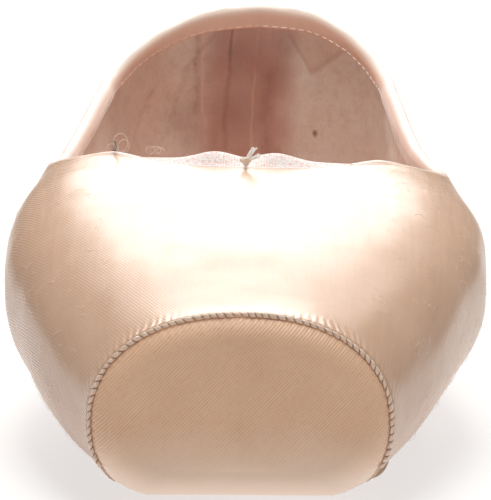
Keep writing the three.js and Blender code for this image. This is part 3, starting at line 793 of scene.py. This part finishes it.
def with_folds(height, folds, x, y, scale=1):
    """Adds soft folds to a relief; scale is how many mm a unit of y is."""
    for fold in folds:
        dx, dy = x - fold["x"], (y - fold["y"]) * scale
        c, s = math.cos(fold["turn"]), math.sin(fold["turn"])
        along, across = dx * c + dy * s, -dx * s + dy * c
        shape = np.exp(-((along / fold["long"]) ** 2) - (across / fold["wide"]) ** 2)
        height = height + fold["deep"] * shape
    return height


def relief(s, a, side):
    """Soft creases, puckers, pleats and seams of the satin, in mm off the last."""
    p = last(s, a) * [side, 1, 1]
    soft = 0.16 * noise(p, 17) + 0.05 * noise(p + 40, 6)
    # The satin rises to the cover's edge, with a groove and short gathers along the seam.
    beyond = s - cover_edge(a)
    past = np.maximum(0, beyond - COVER_EDGE)
    rise = VAMP_RISE * np.exp(-past / 4) * ramp(beyond, -0.2, 1.0)
    strong = 0.6 + 0.4 * noise(p + 80, 12, 1)
    gathers = (0.02 * np.exp(-past / 2.6) + 0.02 * np.exp(-past / 1.3)) * strong
    gathers = gathers * stitched(seam_length(a), side)
    groove = rise - 0.4 * bell((beyond - COVER_EDGE) / 0.35) * (a > SEAM_LOW - 0.05)
    # Pleats where the satin is drawn under the toe to the outsole's tip.
    under = ramp(-a, 0.75, 1.15) * ramp(s, 12, 20) * (1 - ramp(s, 44, 62))
    turn = np.arctan2(np.abs(p[..., 0]), np.maximum(2, SOLE_TIP + 16 - s + 0 * p[..., 0]))
    pleats = 0.34 * under * np.abs(np.sin(turn * 11 + 0.6 * noise(p, 9, 1)))
    # Smaller gathers along the rest of the outsole.
    edge = ramp(-a, 0.9, 1.2) * ramp(s, 55, 70) * (1 - under)
    tucks = 0.1 * edge * np.abs(np.sin(s * 0.85 + noise(p + 10, 11, 1)))
    # The back seam and the two side seams: a narrow valley with a soft ridge beside it.
    from_back = np.where(s > HEEL_AXIS, np.abs(p[..., 0]), 9)
    from_side = s - (SIDE_SEAM + SIDE_SLOPE * (p[..., 2] - 20))
    seams = 0
    for off, deep, shown in ((from_back, 0.28, True), (from_side, 0.25, a > -0.9)):
        seams = seams - deep * bell(off / SEAM_VALLEY) * shown
        seams = seams + 0.1 * bell((off - SEAM_RIDGE) / RIDGE_WIDE) * shown
    # Faint folds that the hand leaves over the box.
    soft = with_folds(soft, FOLDS, s, (QUARTER - a) * side, ROUND_THE_BOX)
    # The lower right side lies a little flatter than the left.
    pressed = PRESSED * (side > 0) * ramp(s, 8, 40) * (1 - ramp(s, 85, 120))
    pressed = pressed * ramp(-a, 0.1, 0.5) * (1 - ramp(-a, 0.9, 1.2))
    return soft * (0.25 + 0.75 * ramp(s, 2.5, 8)) + gathers + groove + pleats + tucks + seams - pressed


def lining_relief(s, a, side):
    """Creases, the heel's stay tape and the lining's folds, in mm into the shoe."""
    p = inner(s, a) * [side, 1, 1]
    soft = 0.22 * noise(p + 60, 14) + 0.1 * noise(p + 25, 5)
    round_heel = (BACK - s) * side
    stay = 0.3 * (ramp(round_heel, STAY[0] - 0.4, STAY[0]) - ramp(round_heel, STAY[1], STAY[1] + 0.4))
    crease = -0.1 * bell((round_heel - sum(STAY) / 2 - 0.4 * noise(p, 7, 1)) / 0.5)
    soft = with_folds(soft, LINING_FOLDS, round_heel, p[..., 2])
    behind = ramp(s, 150, 175)
    return soft * (0.3 + 0.7 * behind) + (stay + crease) * behind


def stations(*spans):
    """Stations joined from spans of (from, to, count)."""
    parts = [np.linspace(a, b, n, endpoint=False) for a, b, n in spans]
    return np.concatenate([*parts, [spans[-1][1]]])


def columns(s, start, under_count, count):
    """Angles for each station: from the opening underneath, past the feather edge, to the topline.

    Columns that would pass the topline end on it.
    """
    feather = feather_angle(s)
    t = np.linspace(0, 1, under_count, endpoint=False)
    low = start[:, None] + (feather - start)[:, None] * t
    t = np.linspace(0, 1, count)
    angles = np.concatenate([low, feather[:, None] + (QUARTER - feather)[:, None] * t], 1)
    return np.minimum(angles, topline_angle(s)[:, None])


THROAT_TURN = 106.5  # behind this station the topline runs nearly straight


def topline_stations(painted_light_by_throat, behind):
    """Stations along the topline, closest together at the throat's middle."""
    return np.concatenate([THROAT + 30 * np.linspace(0, 1, painted_light_by_throat) ** 2.2,
                           np.linspace(THROAT_TURN, BACK, behind)])


def from_topline(points):
    """Distance of each point from the topline, in mm."""
    s = topline_stations(300, 300)
    edge = last(s, topline_angle(s))
    tree = KDTree(len(edge))
    for i, point in enumerate(edge):
        tree.insert(point, i)
    tree.balance()
    return np.array([tree.find(point)[2] for point in points.reshape(-1, 3)]).reshape(points.shape[:-1])


def upper_piece():
    """The hollow upper: satin outside and lining inside, joined along the topline and underneath."""
    s = np.concatenate([
        PLATFORM_EDGE * (1 - np.cos(np.linspace(0, QUARTER, 9)[:-1])),
        stations((PLATFORM_EDGE, 9, 24), (9, OPEN_FROM, 20), (OPEN_FROM, THROAT, 50)),
        THROAT + 24 * np.linspace(0, 1, 42)[1:] ** 2,
        stations((100.6, HEEL_AXIS, 62), (HEEL_AXIS, BACK - 0.06, 42)), [BACK],
    ])
    start = -np.arctan2(section(s)[3], opening_half(s))
    angles = columns(s, start, 8, 150)
    grid = np.broadcast_to(s[:, None], angles.shape)
    few = np.append(np.arange(0, len(s) - 1, 2), len(s) - 1)
    inner_angles = columns(s[few], start[few], 4, 60)
    inner_grid = np.broadcast_to(s[few][:, None], inner_angles.shape)
    crown, inner_crown = np.cos(angles) < 1e-6, np.cos(inner_angles) < 1e-6
    made = Body()
    for side in SIDES:
        lift = relief(grid, angles, side) * ramp(from_topline(last(grid, angles)), 0, 4)
        lift *= 1 - (1 - ramp(angles - start[:, None], 0, 0.1)) * (grid > OPEN_FROM)
        outside = last(grid, angles) + outward(grid, angles) * lift[..., None]
        outside[..., 0] = np.where(crown, 0, outside[..., 0]) * side
        made.grid(outside, cloth_of(grid, angles, side), turned=side < 0)
        inside = inner(inner_grid, inner_angles)
        depth = lining_relief(inner_grid, inner_angles, side)
        depth *= ramp(topline_angle(inner_grid) - inner_angles, 0, 0.1)
        depth = np.where(inner_crown, 0, depth) * ramp(inner_grid, 5, 30)
        inside = inside - outward(inner_grid, inner_angles) * depth[..., None]
        inside[..., 0] = np.where(inner_crown, 0, inside[..., 0]) * side
        lined = cloth_of(inner_grid, inner_angles, side)
        lined[..., 0] = (BACK - lined[..., 0]) * side
        lined[..., 1] = inside[..., 2]
        made.grid(inside, lined, slot=1, turned=side > 0)
        for shown, end, turned in ((s >= THROAT, -1, True), (s >= OPEN_FROM, 0, False)):
            inner_rim = inner(s[shown], angles[shown, end]) * [side, 1, 1]
            made.grid(np.stack([outside[shown, end], inner_rim]), slot=1, turned=turned != (side < 0))
        for face, slot, turned in ((outside[0], 0, False), (inside[0], 1, True)):
            made.grid(np.stack([face * [0, 1, 1], face]), slot=slot, turned=turned != (side < 0))
    return stand(made.build("upper_shell", [vamp_satin, lining_cotton]), "satin", "upper")


COVER_EDGE_LIFT = 1.2  # how far the cover's edge stands off the last
COVER_INSIDE = 0.3  # how far its inside does
PILLOW = 0.5  # how deep the face of the platform is pressed in
PILLOW_HEIGHT, PILLOW_HALF = 16, (18, 12)  # where its middle is, and its half width and height


def platform_piece():
    """The satin over the platform: a shallow pillow, gathered at its seam and turned under the toe."""
    around = np.linspace(-QUARTER, QUARTER, 181)
    t = np.linspace(0, 1, 25)[:, None]
    s = cover_edge(around) * t**2
    angles = np.broadcast_to(around, s.shape)
    share = np.linspace(0, 1, 46)[:-1, None, None]
    full = COVER_CLEAR + COVER_THICK
    made = Body()
    for side in SIDES:
        mirror = [side, 1, 1]
        p = last(s, angles)
        near = ramp(s, 0.3, 1.6) * (angles > SEAM_LOW - 0.4)
        lift = full - (full - COVER_EDGE_LIFT) * t**1.5 + 0.04 * near * stitched(seam_length(angles), side)
        lift = lift + 0.06 * noise(p * mirror + 5, 14)
        outside = p + outward(s, angles) * lift[..., None]
        inside = p + outward(s, angles) * COVER_INSIDE
        outside[:, [0, -1], 0] = inside[:, [0, -1], 0] = 0
        centre = np.array([0, outside[0, :, 1].mean(), wide_at(0)])
        face = centre + (outside[0] - centre) * share
        spread = np.hypot(face[..., 0] / PILLOW_HALF[0], (face[..., 2] - PILLOW_HEIGHT) / PILLOW_HALF[1])
        pillow = -PILLOW * (1 - np.clip(spread, 0, 1) ** 2) + 0.12 * noise(face * mirror, 11)
        gathers = 0.015 * ramp(share[..., 0], 0.9, 1) * stitched(seam_length(around), side)
        gathers = gathers * (around > SEAM_LOW) * (0.7 + 0.6 * noise(face + 30, 8, 1))
        face[..., 1] += (pillow + gathers) * (1 - share[..., 0] ** 8)
        sheet = np.concatenate([face, outside]) * mirror
        cloth = np.stack([sheet[..., 0], sheet[..., 2], 0 * sheet[..., 0]], -1)
        cloth[len(face):, :, 1] -= np.maximum(0, s) * (angles < SEAM_LOW)
        made.grid(sheet, cloth, turned=side < 0)
        made.grid(inside * mirror, turned=side > 0)
        made.grid(np.stack([outside[-1], inside[-1]]) * mirror, turned=side < 0)
        made.grid(np.stack([inside[0] * [0, 1, 1], inside[0] * mirror]), turned=side > 0)
    return stand(made.build("platform_satin", [toe_satin]), "platform_satin", "platform_cover")


SEAM_STANDS = 1.5  # from the last to the seam's middle
SEAM_WIDE = 0.38  # half width of the seam's ridge


def seam_piece():
    """The raised seam: a ridge of small slanted stitches with nips between them, darkened by painted shade.
    """
    angles = np.linspace(SEAM_LOW - 0.03, QUARTER, 1500)
    s = np.full_like(angles, SEAM_STATION + SEAM_WIDE - 0.15)
    out = outward(s, angles)
    centre = last(s, angles) + out * SEAM_STANDS
    centre[-1, 0] = 0
    path, normal = (np.concatenate([v, v[:-1][::-1] * [-1, 1, 1]]) for v in (centre, out))
    side = np.cross(unit(np.gradient(path, axis=0)), normal)
    length = run_along(path)
    turns = np.linspace(0, 2 * math.pi, 16, endpoint=False)
    wander = 0.45 * noise(path, 5, 2)[:, None]
    phase = math.pi * (length[:, None] / STITCH + wander - turns / math.pi * 0.5)
    lay = np.abs(np.sin(phase)) ** 0.7
    uneven = 1 + 0.3 * noise(path + 50, 2.5, 2)[:, None]
    ends = rounding(np.minimum(length, length[-1] - length) / 1.5)[:, None]
    radius = SEAM_WIDE * (0.55 + 0.5 * lay) * uneven * ends
    ring = np.cos(turns)[:, None] * normal[:, None, :] + np.sin(turns)[:, None] * side[:, None, :]
    cloth = np.stack([length[:, None] + 0 * turns, 0 * length[:, None] + turns, lay], -1)
    made = Body().grid(path[:, None, :] + ring * radius[..., None], cloth, closed=True)
    return stand(made.build("platform_stitching", [seam_satin]), "platform_satin", "platform_seam")


HEEL_NARROW, LEFT_NARROW = 2.0, 1.5


def inside_leg(s, side):
    """How far the tape reaches down inside the shoe: less round the heel and on the left."""
    round_heel = ramp(s, 165, 212)
    return BIND_IN - HEEL_NARROW * round_heel - LEFT_NARROW * (side < 0) * (1 - round_heel)


def edge_frames():
    """Along the topline's right side: station, angle, and the way down the wall in stations and angles."""
    s = topline_stations(120, 260)
    a = topline_angle(s)
    p = last(s, a)
    p[0, 0] = 0
    full = np.concatenate([p[1:2] * [-1, 1, 1], p, p[-2:-1] * [-1, 1, 1]])
    tangent = unit(full[2:] - full[:-2])
    along, around = tangents(s, a)
    down = unit(np.cross(tangent, unit(np.cross(along, around))))
    aa, ar, rr = ((u * v).sum(-1) for u, v in ((along, along), (along, around), (around, around)))
    da, dr = (down * along).sum(-1), (down * around).sum(-1)
    area = aa * rr - ar * ar
    return s, a, (da * rr - dr * ar) / area, (dr * aa - da * ar) / area


def chosen(frames, where):
    return tuple(v[where] for v in frames)


def beside(frames, w, beyond):
    """Points by the wall near the topline: w is the distance down from the edge, beyond how far off it."""
    s, a, ds, da = frames
    at, angle = s + w * ds, a + w * da
    share = np.clip(0.5 - np.asarray(beyond) / 0.02, 0, 1)[..., None]
    p = last(at, angle) * (1 - share) + inner(at, angle) * share
    return p + outward(at, angle) * np.asarray(beyond)[..., None]


FOLD_STEPS = 13  # places round the strip's fold
OUTSIDE_STEPS = 5  # and on its outside leg
FOLD_WAVE = 0.09  # how far the strip puffs in and out
TUCKED, SHOWN, WITHIN = 0.03, 0.71, 0.6  # how far its legs stand off: tucked in, more if shown, inside


def folded(frames, outer, inner_depth, lift, snug, roll):
    """Rings of a folded strip along the topline: its outside leg, its round fold and its inside leg.

    snug is 0 where the outside leg is tucked in at the edge, and 1 where it shows in full.
    """
    s, a, _, _ = frames
    zero = 0 * s
    snug, roll, depth = (np.broadcast_to(v, s.shape) for v in (snug, roll, inner_depth))
    off, off_inside = TUCKED + SHOWN * snug, zero + WITHIN
    outer = 0.25 + (outer - 0.25) * snug
    turn = np.linspace(0, math.pi, FOLD_STEPS + 2)[1:-1]
    shell = [(outer * 0.9, zero - 0.15), (outer, 0.4 * off), (outer * 0.9, off)]
    shell += [(outer * 0.5, off * 1.1), (zero, off)]
    shell += [(-roll * math.sin(t), (off if t < QUARTER else off_inside) * math.cos(t)) for t in turn]
    shell += [(zero, -off_inside), (depth * 0.6, -off_inside - 0.05), (depth, -off_inside)]
    shell += [(depth + 0.15, zero - 0.25), (depth, zero + 0.15), (zero + 0.3, zero + 0.2)]
    fold_end = OUTSIDE_STEPS + FOLD_STEPS
    out = outward(s, a)
    rings = []
    for k, (w, n) in enumerate(shell):
        if k < OUTSIDE_STEPS:
            p = beside(frames, w, np.maximum(n, 0.02)) + out * np.minimum(n, 0)[:, None]
        elif k < fold_end:
            inside = beside(frames, w, -off_inside)
            share = (np.cos(turn[k - OUTSIDE_STEPS]) + 1) / 2
            p = inside + (beside(frames, w, off) - inside) * share
        else:
            p = beside(frames, w, np.minimum(n, 0)) + out * np.maximum(n, 0)[:, None]
        p[:, 2] += lift * np.clip(-w / roll * 1.15, 0, 1)
        puff = FOLD_WAVE * noise(np.stack([s, w * 2, n * 3], -1) + 7, 4, 2)
        p += out * (np.sign(n) * puff * snug)[:, None]
        rings.append(p)
    points = np.stack(rings, 1)
    around = np.cumsum(np.linalg.norm(np.diff(points, axis=1, prepend=points[:, :1]), axis=-1), 1)
    ring = np.arange(len(shell))
    within = ramp(ring, OUTSIDE_STEPS + FOLD_STEPS * 0.5, OUTSIDE_STEPS + FOLD_STEPS * 0.88)
    within = within - (1 - ramp(ring, 4, 6.5))
    return points, np.stack(np.broadcast_arrays(run_along(last(s, a))[:, None], around, within), -1)


def strip_piece(name, material, frames, outer, depths, lift, snug, roll, over_the_middle):
    """A folded strip on both sides, joined at the throat's middle or at the heel's back.

    depths are those of its inside leg, on the right and on the left.
    """
    (points, cloth), (left, left_cloth) = (folded(frames, outer, depth, lift, snug, roll) for depth in depths)
    joined = 0 if over_the_middle else -1
    points[joined, :, 0] = left[joined, :, 0] = 0
    left, left_cloth = left[::-1] * [-1, 1, 1], left_cloth[::-1] * [-1, 1, 1]
    if over_the_middle:
        points, cloth = np.concatenate([left[:-1], points]), np.concatenate([left_cloth[:-1], cloth])
    else:
        left_cloth = left_cloth + [2 * cloth[-1, 0, 0], 0, 0]
        points, cloth = np.concatenate([points, left[1:]]), np.concatenate([cloth, left_cloth[1:]])
    made = Body().grid(points, cloth, closed=True)
    half = points.shape[1] // 2
    for end, turned in ((0, False), (-1, True)):
        made.grid(np.stack([points[end, :half], points[end, half:][::-1]]), turned=turned)
    return made.build(name, [material])


CASING_MORE = -0.3  # how much further up or down the knit stands than its solid
WING_AT, WING_WIDE, WING_LIFT = 23, 4, 0.6  # where the tape's fold stands up beside the casing, and how far
HEEL_LIFT, HEEL_WIDE = 1.35, 24  # how far it stands up at the back of the heel, and over what length
BEHIND = 150  # a station well behind the throat
SNUG_FROM = 105  # from here to there the tape's outside leg comes out


def binding_pieces():
    """The satin tape round the topline, and the knitted casing across the throat."""
    frames = edge_frames()
    s = frames[0]
    x = last(s, frames[1])[:, 0]
    round_edge = (x >= CASING_REACH - 1.2) | (s > BEHIND)
    binding, out = chosen(frames, round_edge), x[round_edge]
    at = binding[0]
    snug = ramp(at, SNUG_FROM, BEHIND)
    wing = WING_LIFT * bell((out - WING_AT) / WING_WIDE) * (at < 110)
    lift = 0.25 * (1 - snug) + wing + HEEL_LIFT * bell((BACK - at) / HEEL_WIDE)
    depths = [inside_leg(at, side) for side in SIDES]
    roll = 0.9 + 0.5 * snug
    tape = strip_piece("collar_tape", tape_satin, binding, BIND_OUT, depths, lift, snug, roll, False)
    stand(tape, "binding", "collar_binding")
    front = (x <= CASING_REACH - 0.6) & (s < BEHIND)
    out = x[front]
    lift = (CASING_LIFT + CASING_RISE * bell((np.abs(out) - HUMP_AT) / HUMP_SPREAD))
    lift = lift * np.maximum(0, 1 - (np.abs(out) / CASING_REACH) ** 4)
    lift = lift + CASING_MORE * (1 - (out / CASING_REACH) ** 4)
    roll = 0.9 + 2.3 * (1 - (out / CASING_REACH) ** 2)
    depths = [CASING_IN, CASING_IN]
    middle = chosen(frames, front)
    knit = strip_piece("casing_tape", casing_knit, middle, CASING_OUT, depths, lift, 0.0, roll, True)
    stand(knit, "casing", "throat_casing")


TAPE_STITCH, TAPE_PITCH, TAPE_THREAD = 0.6, 1.9, 0.09  # half length, spacing and radius


def tape_stitches():
    """The line of stitches that holds the tape's inside leg."""
    frames = edge_frames()
    frames = chosen(frames, (last(*frames[:2])[:, 0] > CASING_REACH) | (frames[0] > BEHIND))
    way = outward(*frames[:2])
    t = np.linspace(-1, 1, 6)
    made = Body()
    for side in SIDES:
        path = beside(frames, inside_leg(frames[0], side) - 0.4, np.full_like(frames[0], -0.6))
        length = run_along(path)
        for at in np.arange(1.2, length[-1], TAPE_PITCH):
            point, out = (np.stack([np.interp(at + TAPE_STITCH * t, length, v[:, k]) for k in range(3)], -1)
                          for v in (path, way))
            stitch = (point - out * (0.1 * (1 - t**4))[:, None]) * [side, 1, 1]
            made.tube(stitch, TAPE_THREAD, 5, slot=int(side < 0))
    return stand(made.build("tape_stitches", [white_thread, peach_thread]), "thread")


def plate(s, half, bottom, top, edge, domed=0.0):
    """A thin plate with rounded edges, at its stations; domed is how far its top rises in the middle."""
    turn = np.linspace(-QUARTER, QUARTER, 9)
    across = np.linspace(-1, 1, 22)[1:-1]
    rings = []
    for out, low, high, at in zip(half, bottom, top, s):
        rise, middle = (high - low) / 2, (low + high) / 2
        r = min(edge, rise)
        width = max(out - r, 0.01)
        right = [(width + r * math.cos(t), middle + rise * math.sin(t)) for t in turn]
        over = [(-x * width, high + domed * (1 - x * x)) for x in across]
        left = [(-x, z) for x, z in right[::-1]]
        under = [(x * width, low) for x in across]
        rings.append([(x, at - RISE, z) for x, z in right + over + left + under])
    points = np.array(rings)
    first, final = (np.broadcast_to(points[i].mean(0), points[i].shape)[None] for i in (0, -1))
    points = np.concatenate([first, points, final])
    return Body().grid(points, points[..., [1, 0, 2]], closed=True, turned=True)


def eased(first, count):
    """Shares of a rounded end, closest together at its tip."""
    return 1 - np.cos(np.linspace(first, 1, count) * math.pi / 2)


def outsole_piece():
    ends = eased(0.04, 16)
    s = np.concatenate([SOLE_TIP + TIP_ROUND * ends,
                        np.linspace(SOLE_TIP + TIP_ROUND, SOLE_END - END_ROUND, 90)[1:-1],
                        SOLE_END - END_ROUND * ends[::-1]])
    top = base_at(s) - GAP
    made = plate(s, sole_half(s), top - SOLE_THICK, top, 0.9)
    return stand(made.build("outsole_leather", [sole_leather], swayed=False), "leather", "outsole")


def insole_piece():
    heel = flat_half(LENGTH - HEEL_AXIS - thick_at(BACK), low_at(BACK)) - INSOLE_CLEAR

    def half(s):
        behind = np.clip((s - HEEL_AXIS) / heel, 0, 1)
        side = flat_half(half_at(s) - thick_at(s), low_at(s)) - INSOLE_CLEAR
        return side * np.sqrt(1 - behind**2) * rounding((s - INSOLE_TIP) / INSOLE_ROUND)

    ends = eased(0.05, 14)
    s = np.concatenate([INSOLE_TIP + INSOLE_ROUND * ends,
                        np.linspace(INSOLE_TIP + INSOLE_ROUND, HEEL_AXIS, 80)[1:-1],
                        HEEL_AXIS + heel * (1 - ends[::-1])])
    bottom = base_at(s) + thick_at(s) + GAP
    made = plate(s, half(s), bottom, bottom + INSOLE_THICK, 0.5, domed=-0.2)
    return stand(made.build("insole_sock", [sock_cotton], swayed=False), "lining", "insole")


KNOT = dict(forward=1.0, up=1.2)
CORD = 0.3  # the drawstring's radius in its knot
PLIES, PLY_RADIUS, PLY_POINTS = 9, 0.16, 16
FRAYS_FROM = 0.72  # the share of an end's length where its plies part
STRING_ENDS = table(
    "name node right back up bow",
    ("string_end_left", "drawstring_end_left", 1.25, 0.3, 1.8, 0.05),
    ("string_end_right", "drawstring_end_right", 1.8, 0.1, 0.9, -0.1),
)


def drawstring_pieces():
    """The drawstring's knot in the casing's dip, and its two frayed ends."""
    top = last(THROAT, QUARTER) + [0, -KNOT["forward"], KNOT["up"]]
    t = np.linspace(0, 2 * math.pi, 60)
    trefoil = [np.sin(t) + 2 * np.sin(2 * t), 0.7 * np.sin(3 * t), np.cos(t) - 2 * np.cos(2 * t)]
    knot = Body().tube(top + np.stack(trefoil, -1) * [0.27, 0.3, 0.18], CORD, 8)
    knot.tube(top + [0, 2.4, -0.7] * np.linspace(0, 1, 12)[:, None], CORD, 8)
    t = np.linspace(-1, 1, 15)
    knot.tube(top + t[:, None] * [0.75, 0, 0.1], 0.48 * rounding(1 - np.abs(t)) + 0.02, 12)
    stand(knot.build("knot", [peach_thread]), "thread", "drawstring_knot")
    t = np.linspace(0, 1, PLY_POINTS)[:, None]
    for end in STRING_ENDS:
        way = np.array([end["right"], end["back"], end["up"]])
        bow = np.array([-end["bow"], 0, end["bow"]])
        spine = top + unit(way) * 0.75 + way * 0.9 * t + bow * np.sin(math.pi * t)
        made = Body()
        for ply in range(PLIES):
            apart = 0.3 * (0.7 + 0.3 * t) + 0.5 * np.maximum(0, t - FRAYS_FROM) * rng.uniform(0.4, 1.6)
            twist = ply / PLIES * 2 * math.pi + 3.5 * t * (1 - 0.5 * t)
            offset = np.concatenate([np.cos(twist), np.sin(twist) * 0.6, np.sin(twist) * 0.5], 1) * apart
            long = max(5, int(PLY_POINTS * (1 - 0.25 * rng.random())))
            made.tube((spine + offset)[:long], PLY_RADIUS, 5)
        stand(made.build(end["name"], [white_thread]), "thread", end["node"])


FIBRES, FIBRE_LONG, FIBRE_RADIUS = 520, (0.8, 3.2), (0.012, 0.022)
LINT_SHARES = (0.58, 0.42)  # of the fibres, on the right and on the left
LINT_ALONG, LINT_ROUND = (14, 92), (-0.7, 0.55)  # stations and angles
FLANK = 34  # mm for each radian


def lint_piece():
    """Loose fibres that cling to the satin's flanks."""
    made = Body()
    t = np.linspace(0, 1, 9)
    for _ in range(FIBRES):
        side = rng.choice(SIDES, p=LINT_SHARES)
        s, a = rng.uniform(*LINT_ALONG), rng.uniform(*LINT_ROUND)
        way, bend = rng.uniform(0, 2 * math.pi), rng.uniform(-2.4, 2.4)
        long = rng.uniform(*FIBRE_LONG)
        turn = way + bend * t
        at = s + np.cumsum(np.cos(turn)) * long / len(t)
        angle = a + np.cumsum(np.sin(turn)) * long / len(t) / FLANK
        stands = rng.uniform(0.1, 0.45)
        lift = relief(at, angle, side) + 0.03 + stands * np.sin(math.pi * t)
        points = last(at, angle) + outward(at, angle) * lift[:, None]
        made.tube(points * [side, 1, 1], rng.uniform(*FIBRE_RADIUS), 4)
    return stand(made.build("lint", [peach_thread]), "thread")


HAIR_START = -1.6  # where each hair starts, in radians round its curl
# Hairs: place left of the middle and above the topline, width, height, end in radians and radius.
HAIRS = table(
    "left up wide tall end thick dark",
    (21.4, 0.7, 1.2, 1.5, 4.6, 0.045, False),
    (20.8, 0.7, 0.9, 1.0, 2.9, 0.04, False),
    (22.8, 0.6, 1.0, 0.6, 3.6, 0.045, False),
    (22.5, 0.7, 0.25, 0.75, 1.6, 0.15, True),
    (22.9, 0.7, 0.6, 0.3, 1.2, 0.1, True),
    (22.1, 0.7, -0.5, 0.3, 1.4, 0.1, True),
    (16.2, 0.9, 0.7, 0.6, 4.2, 0.04, False),
    (15.3, 1.0, 0.9, 0.6, 3.8, 0.04, False),
    (14.4, 1.1, -0.7, 0.5, 3.0, 0.04, False),
)


def hair_pieces():
    """Fine hairs that stand up behind the throat's edge on the left, with a dark speck of thread."""
    pale, dark = Body(), Body()
    s = np.linspace(THROAT, 92, 400)
    edge = last(s, topline_angle(s))
    for hair in HAIRS:
        centre = np.array([np.interp(hair["left"], edge[:, 0], edge[:, k]) for k in range(3)]) * [-1, 1, 1]
        turn = np.linspace(HAIR_START, hair["end"], 24)
        rise = hair["tall"] * (1 + np.sin(turn))
        ring = np.stack([hair["wide"] * np.cos(turn), 0.4 * np.sin(turn * 1.7), rise], -1)
        (dark if hair["dark"] else pale).tube(centre + [0, 0.9, hair["up"]] + ring, hair["thick"], 5)
    stand(pale.build("pale_hairs", [peach_thread]), "thread")
    stand(dark.build("dark_hairs", [dark_thread]), "thread")


upper_piece()
platform_piece()
seam_piece()
binding_pieces()
tape_stitches()
outsole_piece()
insole_piece()
drawstring_pieces()
lint_piece()
hair_pieces()

FLOOR_HALF, FLOOR_UNDER = 4000, 0.05  # in mm
WHITE = (1, 1, 1, 1)


def grey(v):
    return (v, v, v, 1)


def floor():
    """A plain pale floor, just under the sole."""
    n = Nodes("floor_white")
    white = n.finish({
        "Base Color": n.mix(n.noise(n.place(), 30.0), grey(0.31), grey(0.33)),
        "Roughness": 0.9, "Emission Color": WHITE, "Emission Strength": 0.66,
    })
    x, y = np.meshgrid(*[np.linspace(-FLOOR_HALF, FLOOR_HALF, 3)] * 2)
    made = Body().grid(np.stack([x, y, 0 * x - FLOOR_UNDER], -1), turned=True)
    piece = made.build("floor", [white], swayed=False)


KEY = (1, 0.955, 0.91)
WORLD, WORLD_STRENGTH = (1, 0.99, 0.98, 1), 0.16
# Soft boxes, in metres; glow is how bright a box's face is, where a white wall in full light is 1.
LIGHTS = table(
    "name place target size glow",
    ("overhead", (-0.02, 0.2, 1.1), (0, 0, 0.03), (0.5, 1.3), 6.9),
    ("back", (-0.03, 1.7, 1.05), (0, 0, 0.03), (0.92, 0.9), 5.6),
    ("left", (-0.6, 1.15, 1.25), (0, -0.1, 0.03), (0.5, 0.4), 3.6),
    ("right", (0.6, 1.15, 1.25), (0, -0.1, 0.03), (0.5, 0.4), 4.4),
)


def lights():
    for light in LIGHTS:
        data = bpy.data.lights.new(light["name"], "AREA")
        data.shape = "RECTANGLE"
        wide, deep = light["size"]
        data.size, data.size_y = wide, deep
        data.energy = light["glow"] * math.pi * wide * deep
        data.color = KEY
        lamp = bpy.data.objects.new(light["name"], data)
        lamp.location = light["place"]
        way = Vector(light["target"]) - Vector(light["place"])
        lamp.rotation_euler = way.to_track_quat("-Z", "Y").to_euler()
        bpy.context.collection.objects.link(lamp)
    world = bpy.data.worlds.new("studio")
    world.use_nodes = True
    background = world.node_tree.nodes["Background"]
    background.inputs["Color"].default_value = WORLD
    background.inputs["Strength"].default_value = WORLD_STRENGTH
    bpy.context.scene.world = world


# The camera's fit to the photo: distance to the platform, tilt and yaw, and where the platform's foot shows.
PHOTO_W, PHOTO_H = 491, 500
CAM_DISTANCE, CAM_TILT, CAM_YAW = 650, 8.8, 0.65
CAM_SCALE = 6.6  # pixels to a mm at the platform
FOOT_PIXEL, FOOT_HEIGHT = (240, 492), 5
SENSOR = 36


def camera():
    tilt, yaw = math.radians(CAM_TILT), math.radians(CAM_YAW)
    back = np.array([math.sin(yaw) * math.cos(tilt), -math.cos(yaw) * math.cos(tilt), math.sin(tilt)])
    right = unit(np.cross(-back, [0, 0, 1]))
    up = np.cross(right, -back)
    focal = CAM_SCALE * CAM_DISTANCE
    a = (FOOT_PIXEL[0] - PHOTO_W / 2) / focal
    b = (PHOTO_H / 2 - FOOT_PIXEL[1]) / focal
    foot = np.array([0, CAD_BOX[0][1] / MM, FOOT_HEIGHT])
    data = bpy.data.cameras.new("camera")
    data.sensor_fit = "AUTO"
    data.sensor_width = SENSOR
    data.lens = SENSOR * focal / max(PHOTO_W, PHOTO_H)
    data.clip_start, data.clip_end = 0.01, 20
    made = bpy.data.objects.new("camera", data)
    made.location = (foot - CAM_DISTANCE * (-back + a * right + b * up)) * MM
    made.rotation_euler = Vector(-back).to_track_quat("-Z", "Y").to_euler()
    bpy.context.collection.objects.link(made)
    bpy.context.scene.camera = made


floor()
lights()
camera()
bpy.context.scene.view_settings.view_transform = "Standard"
